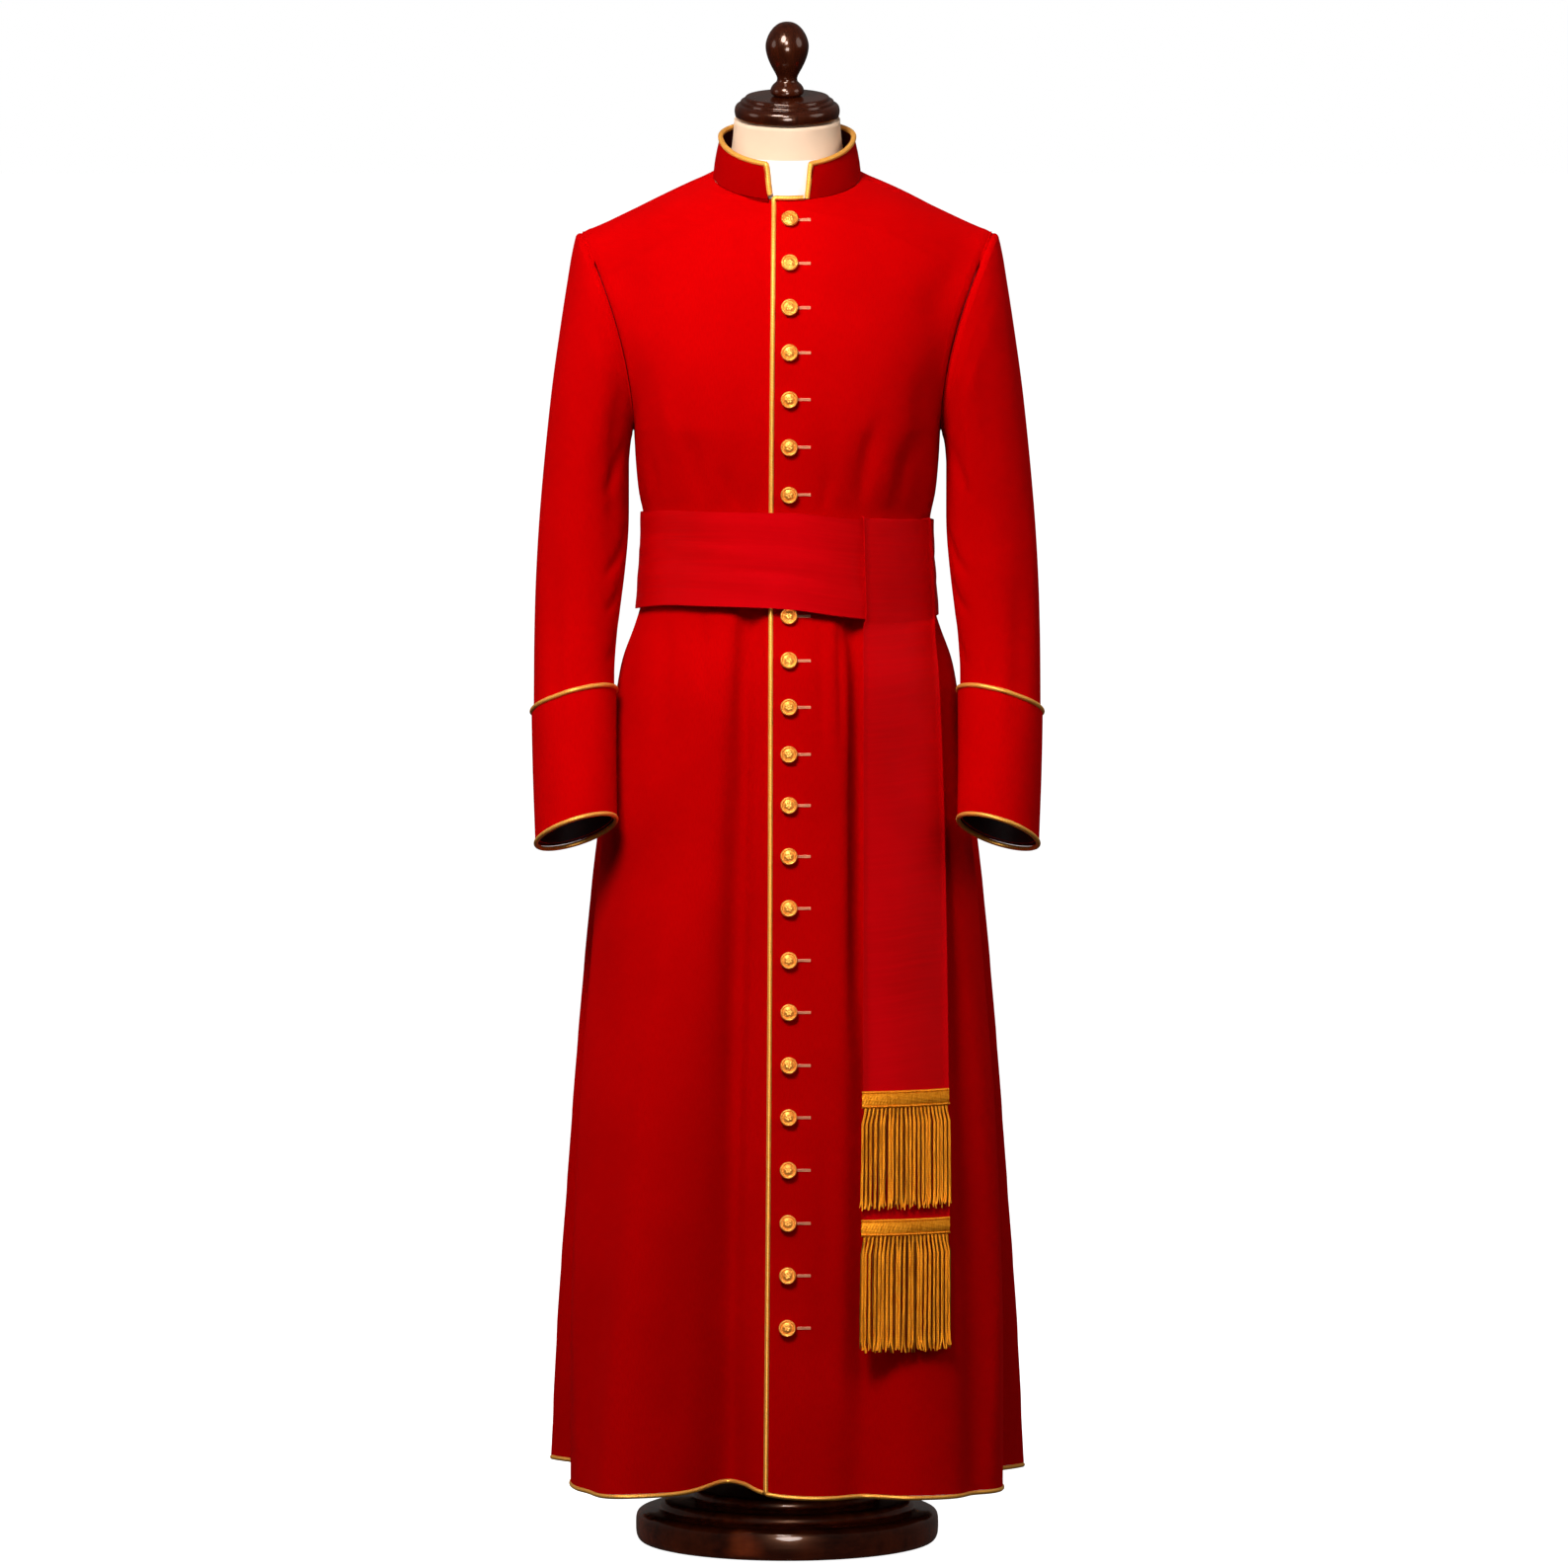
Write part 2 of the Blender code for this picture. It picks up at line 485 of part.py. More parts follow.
def panel_angles(height, back, edge=None, lap=None, middle=0.0, fold=None):
    """Column angles of a body panel, from its centre edge to the side seam."""
    down = min(max((PLEAT_TOP - height) / (PLEAT_TOP - BODY[0][0]), 0.0), 1.0)
    if back:
        corner = 90.0 - PLEAT_BACK[0] - PLEAT_BACK[1] * down
        side = [90.0 - (90.0 - corner) * PLEAT_COLUMN_BACK, 90.0]
        return np.concatenate([np.linspace(0.0, corner, BACK_COLUMNS), side])
    corner = 90.0 - PLEAT_FRONT[0] - PLEAT_FRONT[1] * down
    first = np.linspace(lap, corner, FRONT_COLUMNS)
    if fold:
        first = fold_columns(first, height, fold)
    return np.concatenate([[edge, middle], first, 90.0 - (90.0 - corner) * np.array(PLEAT_COLUMNS)])


def stop_short(points):
    """Pull a row's last point back so neighbouring panels keep their gap."""
    step = points[-1] - points[-2]
    points[-1] = points[-1] - step / np.linalg.norm(step) * EDGE_BACK
    return points


def front_panel(left):
    """Front, in the wearer's-left frame: the right front is returned mirrored."""
    sign = 1.0 if left else -1.0
    rows = []
    for nominal in PANEL_ROWS:
        width = float(table(BODY, 1, nominal))
        near = math.degrees(math.asin(sign * opening(nominal) / width))
        far = math.degrees(math.asin(sign * LAP_REACH / width))
        edge, lap = (near, far) if left else (far, near)
        angles = panel_angles(nominal, False, edge, lap, fold=FOLDS[2] if left else FOLDS[0])
        points = ring(angles * sign, hem_blend(angles * sign, nominal))
        points[:, 0] *= sign
        rows.append(stop_short(points))
    for index, row in enumerate(FRONT_YOKE):
        angles = yoke_angles(index, left)
        points = yoke_row(row, angles / 90.0, False)
        if index == len(FRONT_YOKE) - 1:
            points[:, 1] -= SHOULDER_BACK
        rows.append(stop_short(points))
    grid = np.array(rows)
    if not left:
        under = ease((LAP_EASE[0] - grid[:, :, 0]) / LAP_EASE[1])
        grid[:, :, 1] += table(LAP_DROP, 1, grid[:, :, 2]) * under
        grid = mirrored(grid)
    return grid


def yoke_angles(index, left=True, back=False):
    """Column angles (90 = armhole) of a yoke row, matching the panel columns below it."""
    if back:
        return panel_angles(CHEST, True)
    if index > NECK_ROW:
        return panel_angles(CHEST, False, *EVEN_CENTRE)
    row = FRONT_YOKE[index]
    arc = math.radians(row[4])
    reach = sleeve_ring(0.0, np.array([row[3]]))[0][0]
    places = []
    for x in (opening(row[0]), LAP_REACH):
        share = math.asin((x if left else -x) * math.sin(arc) / reach) / arc
        places.append(90.0 * share)
    edge, lap = places if left else places[::-1]
    return panel_angles(CHEST, False, edge, lap)


def hem_blend(angles, level):
    """Height of a panel row: the hem's own height at the bottom, level rows above it."""
    share = (level - BODY[0][0]) / (CHEST - BODY[0][0])
    hem = np.interp(angles, [row[0] for row in HEM], [row[1] for row in HEM])
    return level + (hem - BODY[0][0]) * (1.0 - share) ** HEM_REACH


def back_panel(left):
    """Half of the back, built on the wearer's left and mirrored for the right."""
    sign = 1.0 if left else -1.0
    rows = []
    for nominal in PANEL_ROWS:
        angles = 180.0 - panel_angles(nominal, True)
        points = ring(angles * sign, hem_blend(angles * sign, nominal))
        points[:, 0] *= sign
        rows.append(stop_short(points))
    for index, row in enumerate(BACK_YOKE):
        points = yoke_row(row, yoke_angles(index, back=True) / 90.0, True)
        if index == len(BACK_YOKE) - 1:
            points[:, 1] += SHOULDER_BACK
        rows.append(stop_short(points))
    grid = np.array(rows)
    grid[:len(PANEL_ROWS) + NECK_ROW + 1, 0, 0] += EDGE_BACK
    return grid if left else mirrored(grid)


def sleeve_turns():
    """Angles round the sleeve, matching the armhole points of the front and back yokes."""
    front = [row[3] for row in FRONT_YOKE]
    back = [-row[3] for row in BACK_YOKE[1:-1]]
    return np.array(front[::-1] + back)


def sleeve(side):
    turns = sleeve_turns()
    rows = [sleeve_ring(along, turns) for along in SLEEVE_ROWS]
    rows[0][:, 0] += SLEEVE_CLEAR
    grid = np.array(rows)
    return grid if side > 0 else mirrored(grid)


def cuff(side):
    turns = sleeve_turns()
    rows = [sleeve_ring(along, turns, CUFF_STAND) for along in CUFF_ROWS]
    grid = np.array(rows)
    return grid if side > 0 else mirrored(grid)


# === collar =====================================================================================
def collar_top(angle, out=0.0):
    """Top edge of the collar; angle 0 is the centre front and 180 the centre back."""
    turn = math.radians(angle)
    depth, height = COLLAR_FRONT if abs(angle) <= 90.0 else COLLAR_BACK
    slope = (height - COLLAR_SIDE_HEIGHT) * abs(math.cos(turn))
    return np.array([(COLLAR_HALF_WIDTH + out) * math.sin(turn), -(depth + out) * math.cos(turn),
                     COLLAR_SIDE_HEIGHT + slope])


def collar_foot(angle, out=0.0):
    """Bottom edge of the collar, standing on the neck seam."""
    back = abs(angle) > 90.0
    point = neckline(180.0 - abs(angle) if back else abs(angle), back)
    point[0] = math.copysign(point[0], angle)
    flat = np.array([point[0], point[1], 0.0])
    return point + flat / np.linalg.norm(flat) * out + np.array([0.0, 0.0, COLLAR_LIFT])


def notch_angles():
    return tuple(math.degrees(math.asin(x / NECK_HALF_WIDTH)) for x in (NOTCH_LEFT, NOTCH_RIGHT))


def collar():
    left, right = notch_angles()
    angles = [left] + list(COLLAR_ANGLES) + [-angle for angle in COLLAR_ANGLES[-2::-1]] + [right]
    foot = np.array([collar_foot(angle) for angle in angles])
    top = np.array([collar_top(angle) for angle in angles])
    top[0, 0] = NOTCH_LEFT + NOTCH_SPLAY
    top[-1, 0] = NOTCH_RIGHT - NOTCH_SPLAY
    return np.array([foot + (top - foot) * share for share in STAND_ROWS])


def collar_insert():
    """White band held behind the collar, showing in the notch and just above the edge."""
    left, right = notch_angles()
    near, far = INSERT_ANGLES
    angles = np.array([-far, -near, right, 0.0, left, near, far])
    inside = -(WALL + INSERT_CLEAR)
    foot = np.array([collar_foot(angle, inside) for angle in angles])
    top = np.array([collar_top(angle, inside) for angle in angles])
    top[:, 2] += INSERT_RISE * np.cos(np.radians(angles * 90.0 / INSERT_FADE))
    foot[:, 2] += INSERT_LIFT
    return np.array([foot + (top - foot) * share for share in STAND_ROWS])


# === sash =======================================================================================
def band_point(angle, share):
    """Point on the sash band; share 0 is the bottom edge and 1 the top."""
    top, bottom = (float(table(BAND, column, angle)) for column in (1, 2))
    turn = math.radians(angle)
    depth = float(table(BAND_SECTION, 2 if abs(angle) <= 90.0 else 3, share))
    width = float(table(BAND_SECTION, 1, share))
    return np.array([width * math.sin(turn), -depth * math.cos(turn), bottom + (top - bottom) * share])


def band():
    angles = np.linspace(-180.0, 180.0, BAND_STEPS, endpoint=False)
    return np.array([[band_point(angle, row[0]) for angle in angles] for row in BAND_SECTION])


def tail_point(share, height, out, spread=0.0):
    """Point on a sash tail; share 0 is the edge nearer the buttons."""
    inner = float(table(TAIL, 1, height)) - spread
    outer = float(table(TAIL, 2, height)) + spread
    width = float(table(BODY, 1, height)) + out
    depth = float(table(BODY, 2, height)) + out
    first, last = (turn_at(x, width, height) for x in (inner, outer))
    turn = first + (last - first) * share
    ratio = 1.0 + float(swell(math.degrees(turn), height))
    return np.array([width * ratio * math.sin(turn), -depth * ratio * math.cos(turn), height])


def turn_at(x, width, height):
    """Turn (radians) at which the swollen section of that half width reaches x."""
    turn = 0.0
    for _ in range(TURN_STEPS):
        ratio = 1.0 + float(swell(math.degrees(turn), height))
        turn = math.asin(min(x / (width * ratio), WRAP_LIMIT))
    return turn


def strip(heights, out, spread=0.0, columns=TAIL_COLUMNS):
    """Flat piece hanging on the skirt's front, with its outer face the given distance off it."""
    shares = np.linspace(0.0, 1.0, columns)
    return np.array([[tail_point(share, height, out, spread) for share in shares] for height in heights])


def over_band(share, drop, out):
    """Point of the upper tail where it lies over the band, the given drop below the band's top."""
    flat = tail_point(share, WAIST, 0.0)
    angle = math.degrees(math.asin(min(flat[0] / BAND_SECTION[-1][1], WRAP_LIMIT)))
    top, bottom = band_point(angle, 1.0), band_point(angle, 0.0)
    point = top + (bottom - top) * (drop / (top[2] - bottom[2]))
    away = np.array([math.sin(math.radians(angle)), -math.cos(math.radians(angle)), 0.0])
    return point + away * out


def upper_tail():
    end, stand = UPPER_TAIL[:2]
    shares = np.linspace(0.0, 1.0, TAIL_COLUMNS)
    rows = [[over_band(share, drop, out) for share in shares] for drop, out in TAIL_ROLL]
    return np.concatenate([np.array(rows), strip(TAIL_ROWS + (end,), stand)])


def tail_trim(tail, name):
    """Woven header sewn to a tail's end, and the block of fringe that hangs from it."""
    end, stand, top, foot, fringe_end = tail
    out = stand + SEAM + HEADER_WALL
    shell("header_" + name, strip((top, foot), out, HEADER_SPREAD), GOLD, HEADER_WALL, flip=True)
    rows = np.linspace(foot - SEAM, fringe_end, FRINGE_ROWS)
    shell("fringe_" + name, strip(rows, out, FRINGE_SPREAD), GOLD_THREAD, FRINGE_WALL, flip=True)


# === dress form =================================================================================
def form_grids():
    """Point grids of the wearer's left half of the form, from the hips to the top of the neck."""
    ahead = panel_angles(CHEST, False, *EVEN_CENTRE) / 90.0
    behind = panel_angles(CHEST, True) / 90.0
    front = np.array([yoke_row(row, ahead, False) for row in FRONT_YOKE])
    back = np.array([yoke_row(row, behind, True) for row in BACK_YOKE])
    hips = []
    for height, width, front_depth, back_depth in FORM:
        turns = np.radians(np.concatenate([90.0 * ahead, 180.0 - 90.0 * behind[-2::-1]]))
        depth = np.where(turns <= math.pi / 2.0, front_depth, back_depth)
        level = np.full(len(turns), height)
        hips.append(np.stack([width * np.sin(turns), -depth * np.cos(turns), level], -1))
    hips.append(np.concatenate([front[0], back[0][-2::-1]]))
    plate = [[low + (high - low) * share for share in PLATE_SHARES]
             for low, high in zip(front[:, -1], back[:, -1])]
    seam = np.concatenate([front[NECK_ROW:, 0], back[-2:NECK_ROW - 1:-1, 0]])
    angles = [row[2] for row in FRONT_YOKE[NECK_ROW:]]
    angles += [180.0 - row[2] for row in BACK_YOKE[-2:NECK_ROW - 1:-1]]
    neck = [seam]
    for height, width, front_depth, back_depth, tilt in FORM_NECK:
        ring_points = []
        for angle in angles:
            turn = math.radians(angle)
            depth = front_depth if angle <= 90.0 else back_depth
            y = -depth * math.cos(turn)
            ring_points.append((width * math.sin(turn), y, height + y * math.tan(NECK_TILT * tilt)))
        neck.append(np.array(ring_points))
    return [np.array(hips), front, back[:, ::-1], np.array(plate), np.array(neck)]


def form_torso():
    """Smooth closed bust: hips, chest, shoulders just inside the cloth, flat arm plates and a neck."""
    work = bmesh.new()
    for grid in form_grids():
        for half in (grid, mirrored(grid)):
            made = [[work.verts.new(point) for point in row] for row in half]
            for low, high in zip(made, made[1:]):
                for a, b, c, d in zip(low, low[1:], high[1:], high):
                    work.faces.new((a, b, c, d))
    bmesh.ops.remove_doubles(work, verts=work.verts, dist=0.00001)
    bmesh.ops.dissolve_degenerate(work, edges=work.edges, dist=0.00001)
    bmesh.ops.holes_fill(work, edges=work.edges, sides=MOST_SIDES)
    bmesh.ops.recalc_face_normals(work, faces=work.faces)
    work.normal_update()
    moves = [(vert, vert.normal * form_inset(vert.co))
             for vert in work.verts if CHEST - 0.001 <= vert.co.z and on_yoke(vert.co)]
    for vert, move in moves:
        vert.co -= move
    data = bpy.data.meshes.new("form_torso")
    work.to_mesh(data)
    work.free()
    return put("form_torso", data, LINEN)


def form_inset(place):
    """Clearance under the cloth: close on the shoulders, looser on the chest and under the lap."""
    inset = float(np.interp(place.z, [row[0] for row in FORM_INSET], [row[1] for row in FORM_INSET]))
    lapped = float(ease((FORM_LAP_HALF - abs(place.x)) / FORM_LAP_FADE)) if place.y < 0.0 else 0.0
    return inset + FORM_LAP_ROOM * lapped


def on_yoke(place):
    """Whether a point of the form belongs to the yoke, which follows the cloth, and not to the neck."""
    width = NECK_HALF_WIDTH - NECK_MARGIN
    depth = (FRONT_YOKE if place.y < 0.0 else BACK_YOKE)[-1][1] - NECK_MARGIN
    return place.z < YOKE_TOP or (place.x / width) ** 2 + (place.y / depth) ** 2 > 1.0


def form_hardware():
    neck_top = Matrix.Translation((0.0, 0.0, CAP_BASE)) @ Matrix.Rotation(NECK_TILT, 4, "X")
    lathe("form_cap", CAP_PROFILE, WOOD, sides=CAP_SIDES, matrix=neck_top)
    lathe("form_finial", FINIAL_PROFILE, WOOD, sides=FINIAL_SIDES, matrix=neck_top)
    lathe("form_pole", POLE_PROFILE, WOOD, sides=POLE_SIDES)
    lathe("form_base", BASE_PROFILE, WOOD, sides=BASE_SIDES)


# === trims ======================================================================================
def centre_front(height):
    """Point on the closed front's centre line, on the flats between the panel's rows."""
    lower = [ring(np.zeros(1), hem_blend(np.zeros(1), level))[0] for level in PANEL_ROWS]
    upper = [np.array([0.0, -row[1], row[0]]) for row in FRONT_YOKE[:NECK_ROW + 1]]
    line = np.array(lower + upper)
    return np.array([0.0, np.interp(height, line[:, 2], line[:, 1]), height])


def buttons():
    for number, height in enumerate(BUTTON_HEIGHTS, start=1):
        place = centre_front(height)
        place[0] = table(BUTTON_LINE, 1, height)
        slope = centre_front(height + BUTTON_RADIUS) - centre_front(height - BUTTON_RADIUS)
        lean = math.atan2(slope[1], slope[2])
        matrix = Matrix.Translation(place) @ Matrix.Rotation(math.radians(90.0) - lean, 4, "X")
        profile = [(radius, rise + BUTTON_GAP) for radius, rise in BUTTON_PROFILE]
        lathe("button_%02d" % number, profile, BRASS, sides=BUTTON_SIDES, matrix=matrix)


def edge_pipe(name, points, away, closed=False):
    """Piping beside a cloth edge, moved off it by its radius and a small gap."""
    offset = np.asarray(away, float) * (PIPE_RADIUS + PIPE_GAP)
    return pipe(name, np.asarray(points) + offset, closed=closed)


def piping(left, right, backs, cuffs, stand):
    """Corded edges: the opening, the neck seam in the notch, the collar, the hems and the cuffs."""
    edge = left[:len(PANEL_ROWS) + NECK_ROW + 1, 0]
    edge_pipe("piping_front_edge", edge + np.array([0.0, -PIPE_GAP, 0.0]), (-1.0, 0.0, 0.0))
    pipe("piping_collar", collar_line(stand))
    edge_pipe("piping_neck", [collar_foot(angle) for angle in NECK_PIPE_ANGLES], NECK_PIPE_AWAY)
    down = -UP
    edge_pipe("piping_hem_front_left", trim(pull_in(left[0]), 0.0, HEM_PIPE_BACK), down)
    edge_pipe("piping_hem_front_right", trim(pull_in(right[0][2:]), HEM_PIPE_LAP, HEM_PIPE_BACK), down)
    for side, grid in backs:
        edge_pipe("piping_hem_back_" + side, trim(pull_in(grid[0]), PIPE_GAP, HEM_PIPE_BACK), down)
    for side, grid in cuffs:
        edge_pipe("piping_cuff_top_" + side, grow(grid[0], CUFF_PIPE_OUT), UP, closed=True)
        edge_pipe("piping_cuff_end_" + side, pull_in(grid[-1]), down * CUFF_PIPE_DROP, closed=True)


def collar_line(stand):
    """Line of the collar's piping: up one notch edge, round the top edge and down the other."""
    reach = PIPE_RADIUS + PIPE_GAP
    top = stand[-1] + UP * reach
    right = stand[:, -1] + np.array([reach, 0.0, 0.0])
    left = stand[:, 0] - np.array([reach, 0.0, 0.0])
    right[0, 2] += PIPE_GAP
    left[0, 2] += PIPE_GAP
    right[-1] = top[-1] + np.array([reach, 0.0, 0.0])
    left[-1] = top[0] - np.array([reach, 0.0, 0.0])
    return np.concatenate([right, top[-2:0:-1], left[::-1]])


def trim(points, start, end):
    """Shorten a line of points by a length at each end."""
    points = np.array(points, float)
    for this, other, length in ((0, 1, start), (-1, -2, end)):
        step = points[other] - points[this]
        points[this] = points[this] + step / np.linalg.norm(step) * length
    return points


def pull_in(points):
    """Line half a wall inside an edge drawn on the outer face."""
    return grow(points, -WALL / 2.0)


def grow(points, distance):
    """Move a line of points away from its middle in plan, along the line's own side direction."""
    points = np.asarray(points, float)
    ahead = np.gradient(points[:, :2], axis=0)
    side = np.stack([ahead[:, 1], -ahead[:, 0]], -1)
    side /= np.linalg.norm(side, axis=1)[:, None]
    middle = points[:, :2].mean(axis=0)
    if np.mean(np.sum(side * (points[:, :2] - middle), axis=1)) < 0.0:
        side = -side
    moved = points.copy()
    moved[:, :2] += side * distance
    return moved


# === build ======================================================================================
RED = ((0.62, 0.010, 0.012), 0.85)
SILK = ((0.55, 0.008, 0.016), 0.60)
GOLD = ((0.80, 0.42, 0.10), 0.45)
GOLD_THREAD = ((0.62, 0.36, 0.09), 0.55)
BRASS = ((0.85, 0.55, 0.20), 0.30, 0.9)
LINEN = ((0.86, 0.76, 0.62), 0.85)
WHITE = ((0.90, 0.90, 0.88), 0.60)
WOOD = ((0.10, 0.030, 0.015), 0.25)

for old in list(bpy.data.objects):
    bpy.data.objects.remove(old)
GROUP = collection(NAME)
collection(NAME + "_cutters", hidden=True)


def build():
    left, right = front_panel(True), front_panel(False)
    shell("front_left", left, RED, WALL)
    shell("front_right", right, RED, WALL, flip=True)
    backs = (("left", back_panel(True)), ("right", back_panel(False)))
    shell("back_left", backs[0][1], RED, WALL, flip=True)
    shell("back_right", backs[1][1], RED, WALL)
    cuffs = []
    for side, name in ((1, "left"), (-1, "right")):
        shell("sleeve_" + name, sleeve(side), RED, WALL, closed=True, flip=side < 0)
        cuffs.append((name, cuff(side)))
        shell("cuff_" + name, cuffs[-1][1], RED, WALL, closed=True, flip=side < 0)
    stand = collar()
    shell("collar", stand, RED, WALL)
    shell("collar_insert", collar_insert(), WHITE, INSERT_WALL)
    shell("sash_band", band(), SILK, SASH_WALL, closed=True)
    shell("sash_tail_upper", upper_tail(), SILK, SASH_WALL, flip=True)
    heights = TAIL_ROWS[1:] + (UPPER_TAIL[0], LOWER_TAIL_ROW, LOWER_TAIL[0])
    shell("sash_tail_lower", strip(heights, LOWER_TAIL[1]), SILK, SASH_WALL, flip=True)
    tail_trim(UPPER_TAIL, "upper")
    tail_trim(LOWER_TAIL, "lower")
    piping(left, right, backs, cuffs, stand)
    buttons()
    form_torso()
    form_hardware()


build()
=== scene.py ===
"""Looks of the scarlet cassock on its limbless dress form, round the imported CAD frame.

Every cloth piece is a fine thin shell on the same sections as its CAD solid, with the smaller folds,
seams and creases added.  Metres, +Z up; the garment faces -Y and the wearer's left is +X.
"""
import math

import bmesh
import bpy
import numpy as np
from mathutils import Matrix, Vector


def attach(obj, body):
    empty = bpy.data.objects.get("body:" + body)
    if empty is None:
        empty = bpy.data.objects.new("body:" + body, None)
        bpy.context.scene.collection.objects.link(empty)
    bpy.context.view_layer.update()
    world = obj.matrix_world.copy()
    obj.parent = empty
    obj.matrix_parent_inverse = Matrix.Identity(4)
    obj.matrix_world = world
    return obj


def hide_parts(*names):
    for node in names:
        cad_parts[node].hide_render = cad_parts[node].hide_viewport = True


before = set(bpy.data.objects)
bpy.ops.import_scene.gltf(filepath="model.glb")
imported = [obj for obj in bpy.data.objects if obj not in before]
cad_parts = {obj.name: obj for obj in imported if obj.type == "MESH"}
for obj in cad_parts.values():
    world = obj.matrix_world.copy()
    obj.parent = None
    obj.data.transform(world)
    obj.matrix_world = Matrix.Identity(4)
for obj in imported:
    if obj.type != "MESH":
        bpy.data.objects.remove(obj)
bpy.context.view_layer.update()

ROOT = "root"
UP = np.array([0.0, 0.0, 1.0])
LEVEL = np.array([1.0, 1.0, 0.0])      # drops a point's height

# --- cloth and trim sizes -------------------------------------------------------------------------
WALL = 0.0018
SASH_WALL = 0.0011
INSERT_WALL = 0.0009
SEAM = 0.0003
EDGE_BACK = 0.00025            # how far each panel stops short of a seam line
SHOULDER_BACK = 0.0005
PIPE_RADIUS = 0.0026
PIPE_GAP = 0.0002
LAP_DROP = ((1.40, 0.0030), (1.50, 0.0060))   # height, how far the right front runs under the left
LAP_EASE = (0.075, 0.035)      # x where the drop begins, and the width over which it grows
LAP_REACH = 0.030              # x of the right front's hidden edge

# --- body sections --------------------------------------------------------------------------------
# height, half width, front depth, back depth
BODY = (
    (0.076, 0.2725, 0.2500, 0.2400),
    (0.250, 0.2625, 0.2340, 0.2260),
    (0.400, 0.2505, 0.2190, 0.2120),
    (0.570, 0.2365, 0.1990, 0.1960),
    (0.766, 0.2170, 0.1740, 0.1750),
    (0.900, 0.1985, 0.1580, 0.1570),
    (0.985, 0.1850, 0.1470, 0.1450),
    (1.028, 0.1695, 0.1350, 0.1270),
    (1.050, 0.1630, 0.1295, 0.1180),
    (1.100, 0.1580, 0.1250, 0.1100),
    (1.148, 0.1590, 0.1262, 0.1090),
    (1.175, 0.1645, 0.1290, 0.1105),
    (1.210, 0.1680, 0.1320, 0.1125),
    (1.247, 0.1700, 0.1345, 0.1140),
)
# height, how far the section swells towards a square in front, and behind
SQUARE = (
    (0.076, 0.100, 0.020),
    (0.500, 0.085, 0.015),
    (0.700, 0.030, 0.008),
    (0.800, 0.004, 0.000),
    (0.930, 0.004, 0.000),
    (1.040, 0.000, 0.000),
    (1.148, 0.000, 0.000),
    (1.175, 0.020, 0.020),
    (1.210, 0.050, 0.050),
    (1.247, 0.085, 0.085),
)
CHEST = 1.247                  # height of the underarm

# angle at the waist and at the hem, depth at the waist and at the hem as a share of the radius, half
# width at the waist and at the hem (deg), height where it opens
FOLDS = (
    (-14.5, -17.0, -0.078, -0.215, 3.2, 7.5, 1.075),
    (-31.0, -37.0, 0.010, 0.110, 6.0, 7.5, 1.020),
    (27.0, 18.6, -0.095, -0.075, 4.2, 6.0, 1.075),
    (52.0, 47.0, -0.050, -0.060, 4.5, 6.0, 1.040),
    (128.0, 130.0, -0.035, -0.130, 6.0, 8.0, 1.060),
    (158.0, 156.0, -0.040, -0.160, 5.0, 7.5, 1.060),
    (-130.0, -132.0, -0.035, -0.140, 6.0, 8.0, 1.060),
    (-160.0, -157.0, -0.040, -0.150, 5.0, 7.5, 1.060),
)
FOLD_FADE = 0.045
PLEAT_TOP = 1.00               # height where the side pleats open
PLEAT_DEPTH = 0.27             # share of the radius at the hem
PLEAT_FRONT = (9.0, 31.0)      # degrees in front of the side seam: at the top, and added at the hem
PLEAT_BACK = (5.0, 8.0)        # the same behind the seam
PLEAT_SHAPE = 1.10
HEM_LAP_END = -0.026           # x where the right front's visible hem ends, at the overlap
HEM_REACH = 6                  # how quickly a panel's rows turn level above its hem

# angle (deg), height of the hem
HEM = ((-180, 0.080), (-120, 0.088), (-92, 0.089), (-62, 0.086), (-32, 0.088), (-24, 0.090),
       (-18, 0.098), (-11, 0.098), (-6, 0.092), (0, 0.088), (20, 0.086), (60, 0.081), (92, 0.080),
       (120, 0.080), (180, 0.080))
# height, x of the left front's opening edge
OPENING = ((0.076, -0.0210), (0.600, -0.0165), (1.200, -0.0145), (1.500, -0.0118))

# --- yoke: centre height, centre depth, neckline angle, armhole angle, arc (deg), squareness ------
FRONT_YOKE = (
    (1.2470, 0.1345, 0.0, 180.0, 90.0, 0.085),
    (1.2850, 0.1365, 0.0, 156.0, 85.0, 0.080),
    (1.3300, 0.1360, 0.0, 133.0, 78.0, 0.070),
    (1.3800, 0.1300, 0.0, 111.0, 70.0, 0.055),
    (1.4250, 0.1190, 0.0, 91.0, 62.0, 0.040),
    (1.4650, 0.1025, 0.0, 74.0, 56.0, 0.030),
    (1.5016, 0.0800, 0.0, 58.0, 50.0, 0.020),
    (1.5016, 0.0800, 30.0, 42.0, 45.0, 0.010),
    (1.5016, 0.0800, 55.0, 26.0, 40.0, 0.000),
    (1.5016, 0.0800, 74.0, 12.0, 34.0, 0.000),
    (1.5016, 0.0800, 90.0, 0.0, 30.0, 0.000),
)
BACK_YOKE = (
    (1.2470, 0.1140, 0.0, 180.0, 90.0, 0.085),
    (1.2900, 0.1170, 0.0, 156.0, 84.0, 0.080),
    (1.3400, 0.1190, 0.0, 133.0, 76.0, 0.070),
    (1.3950, 0.1160, 0.0, 111.0, 68.0, 0.055),
    (1.4450, 0.1080, 0.0, 91.0, 60.0, 0.040),
    (1.4950, 0.0920, 0.0, 74.0, 54.0, 0.030),
    (1.5410, 0.0680, 0.0, 58.0, 48.0, 0.020),
    (1.5410, 0.0680, 30.0, 42.0, 44.0, 0.010),
    (1.5410, 0.0680, 55.0, 26.0, 40.0, 0.000),
    (1.5410, 0.0680, 74.0, 12.0, 34.0, 0.000),
    (1.5410, 0.0680, 90.0, 0.0, 30.0, 0.000),
)
NECK_ROW = 6                   # the yoke row that reaches the neckline at the centre
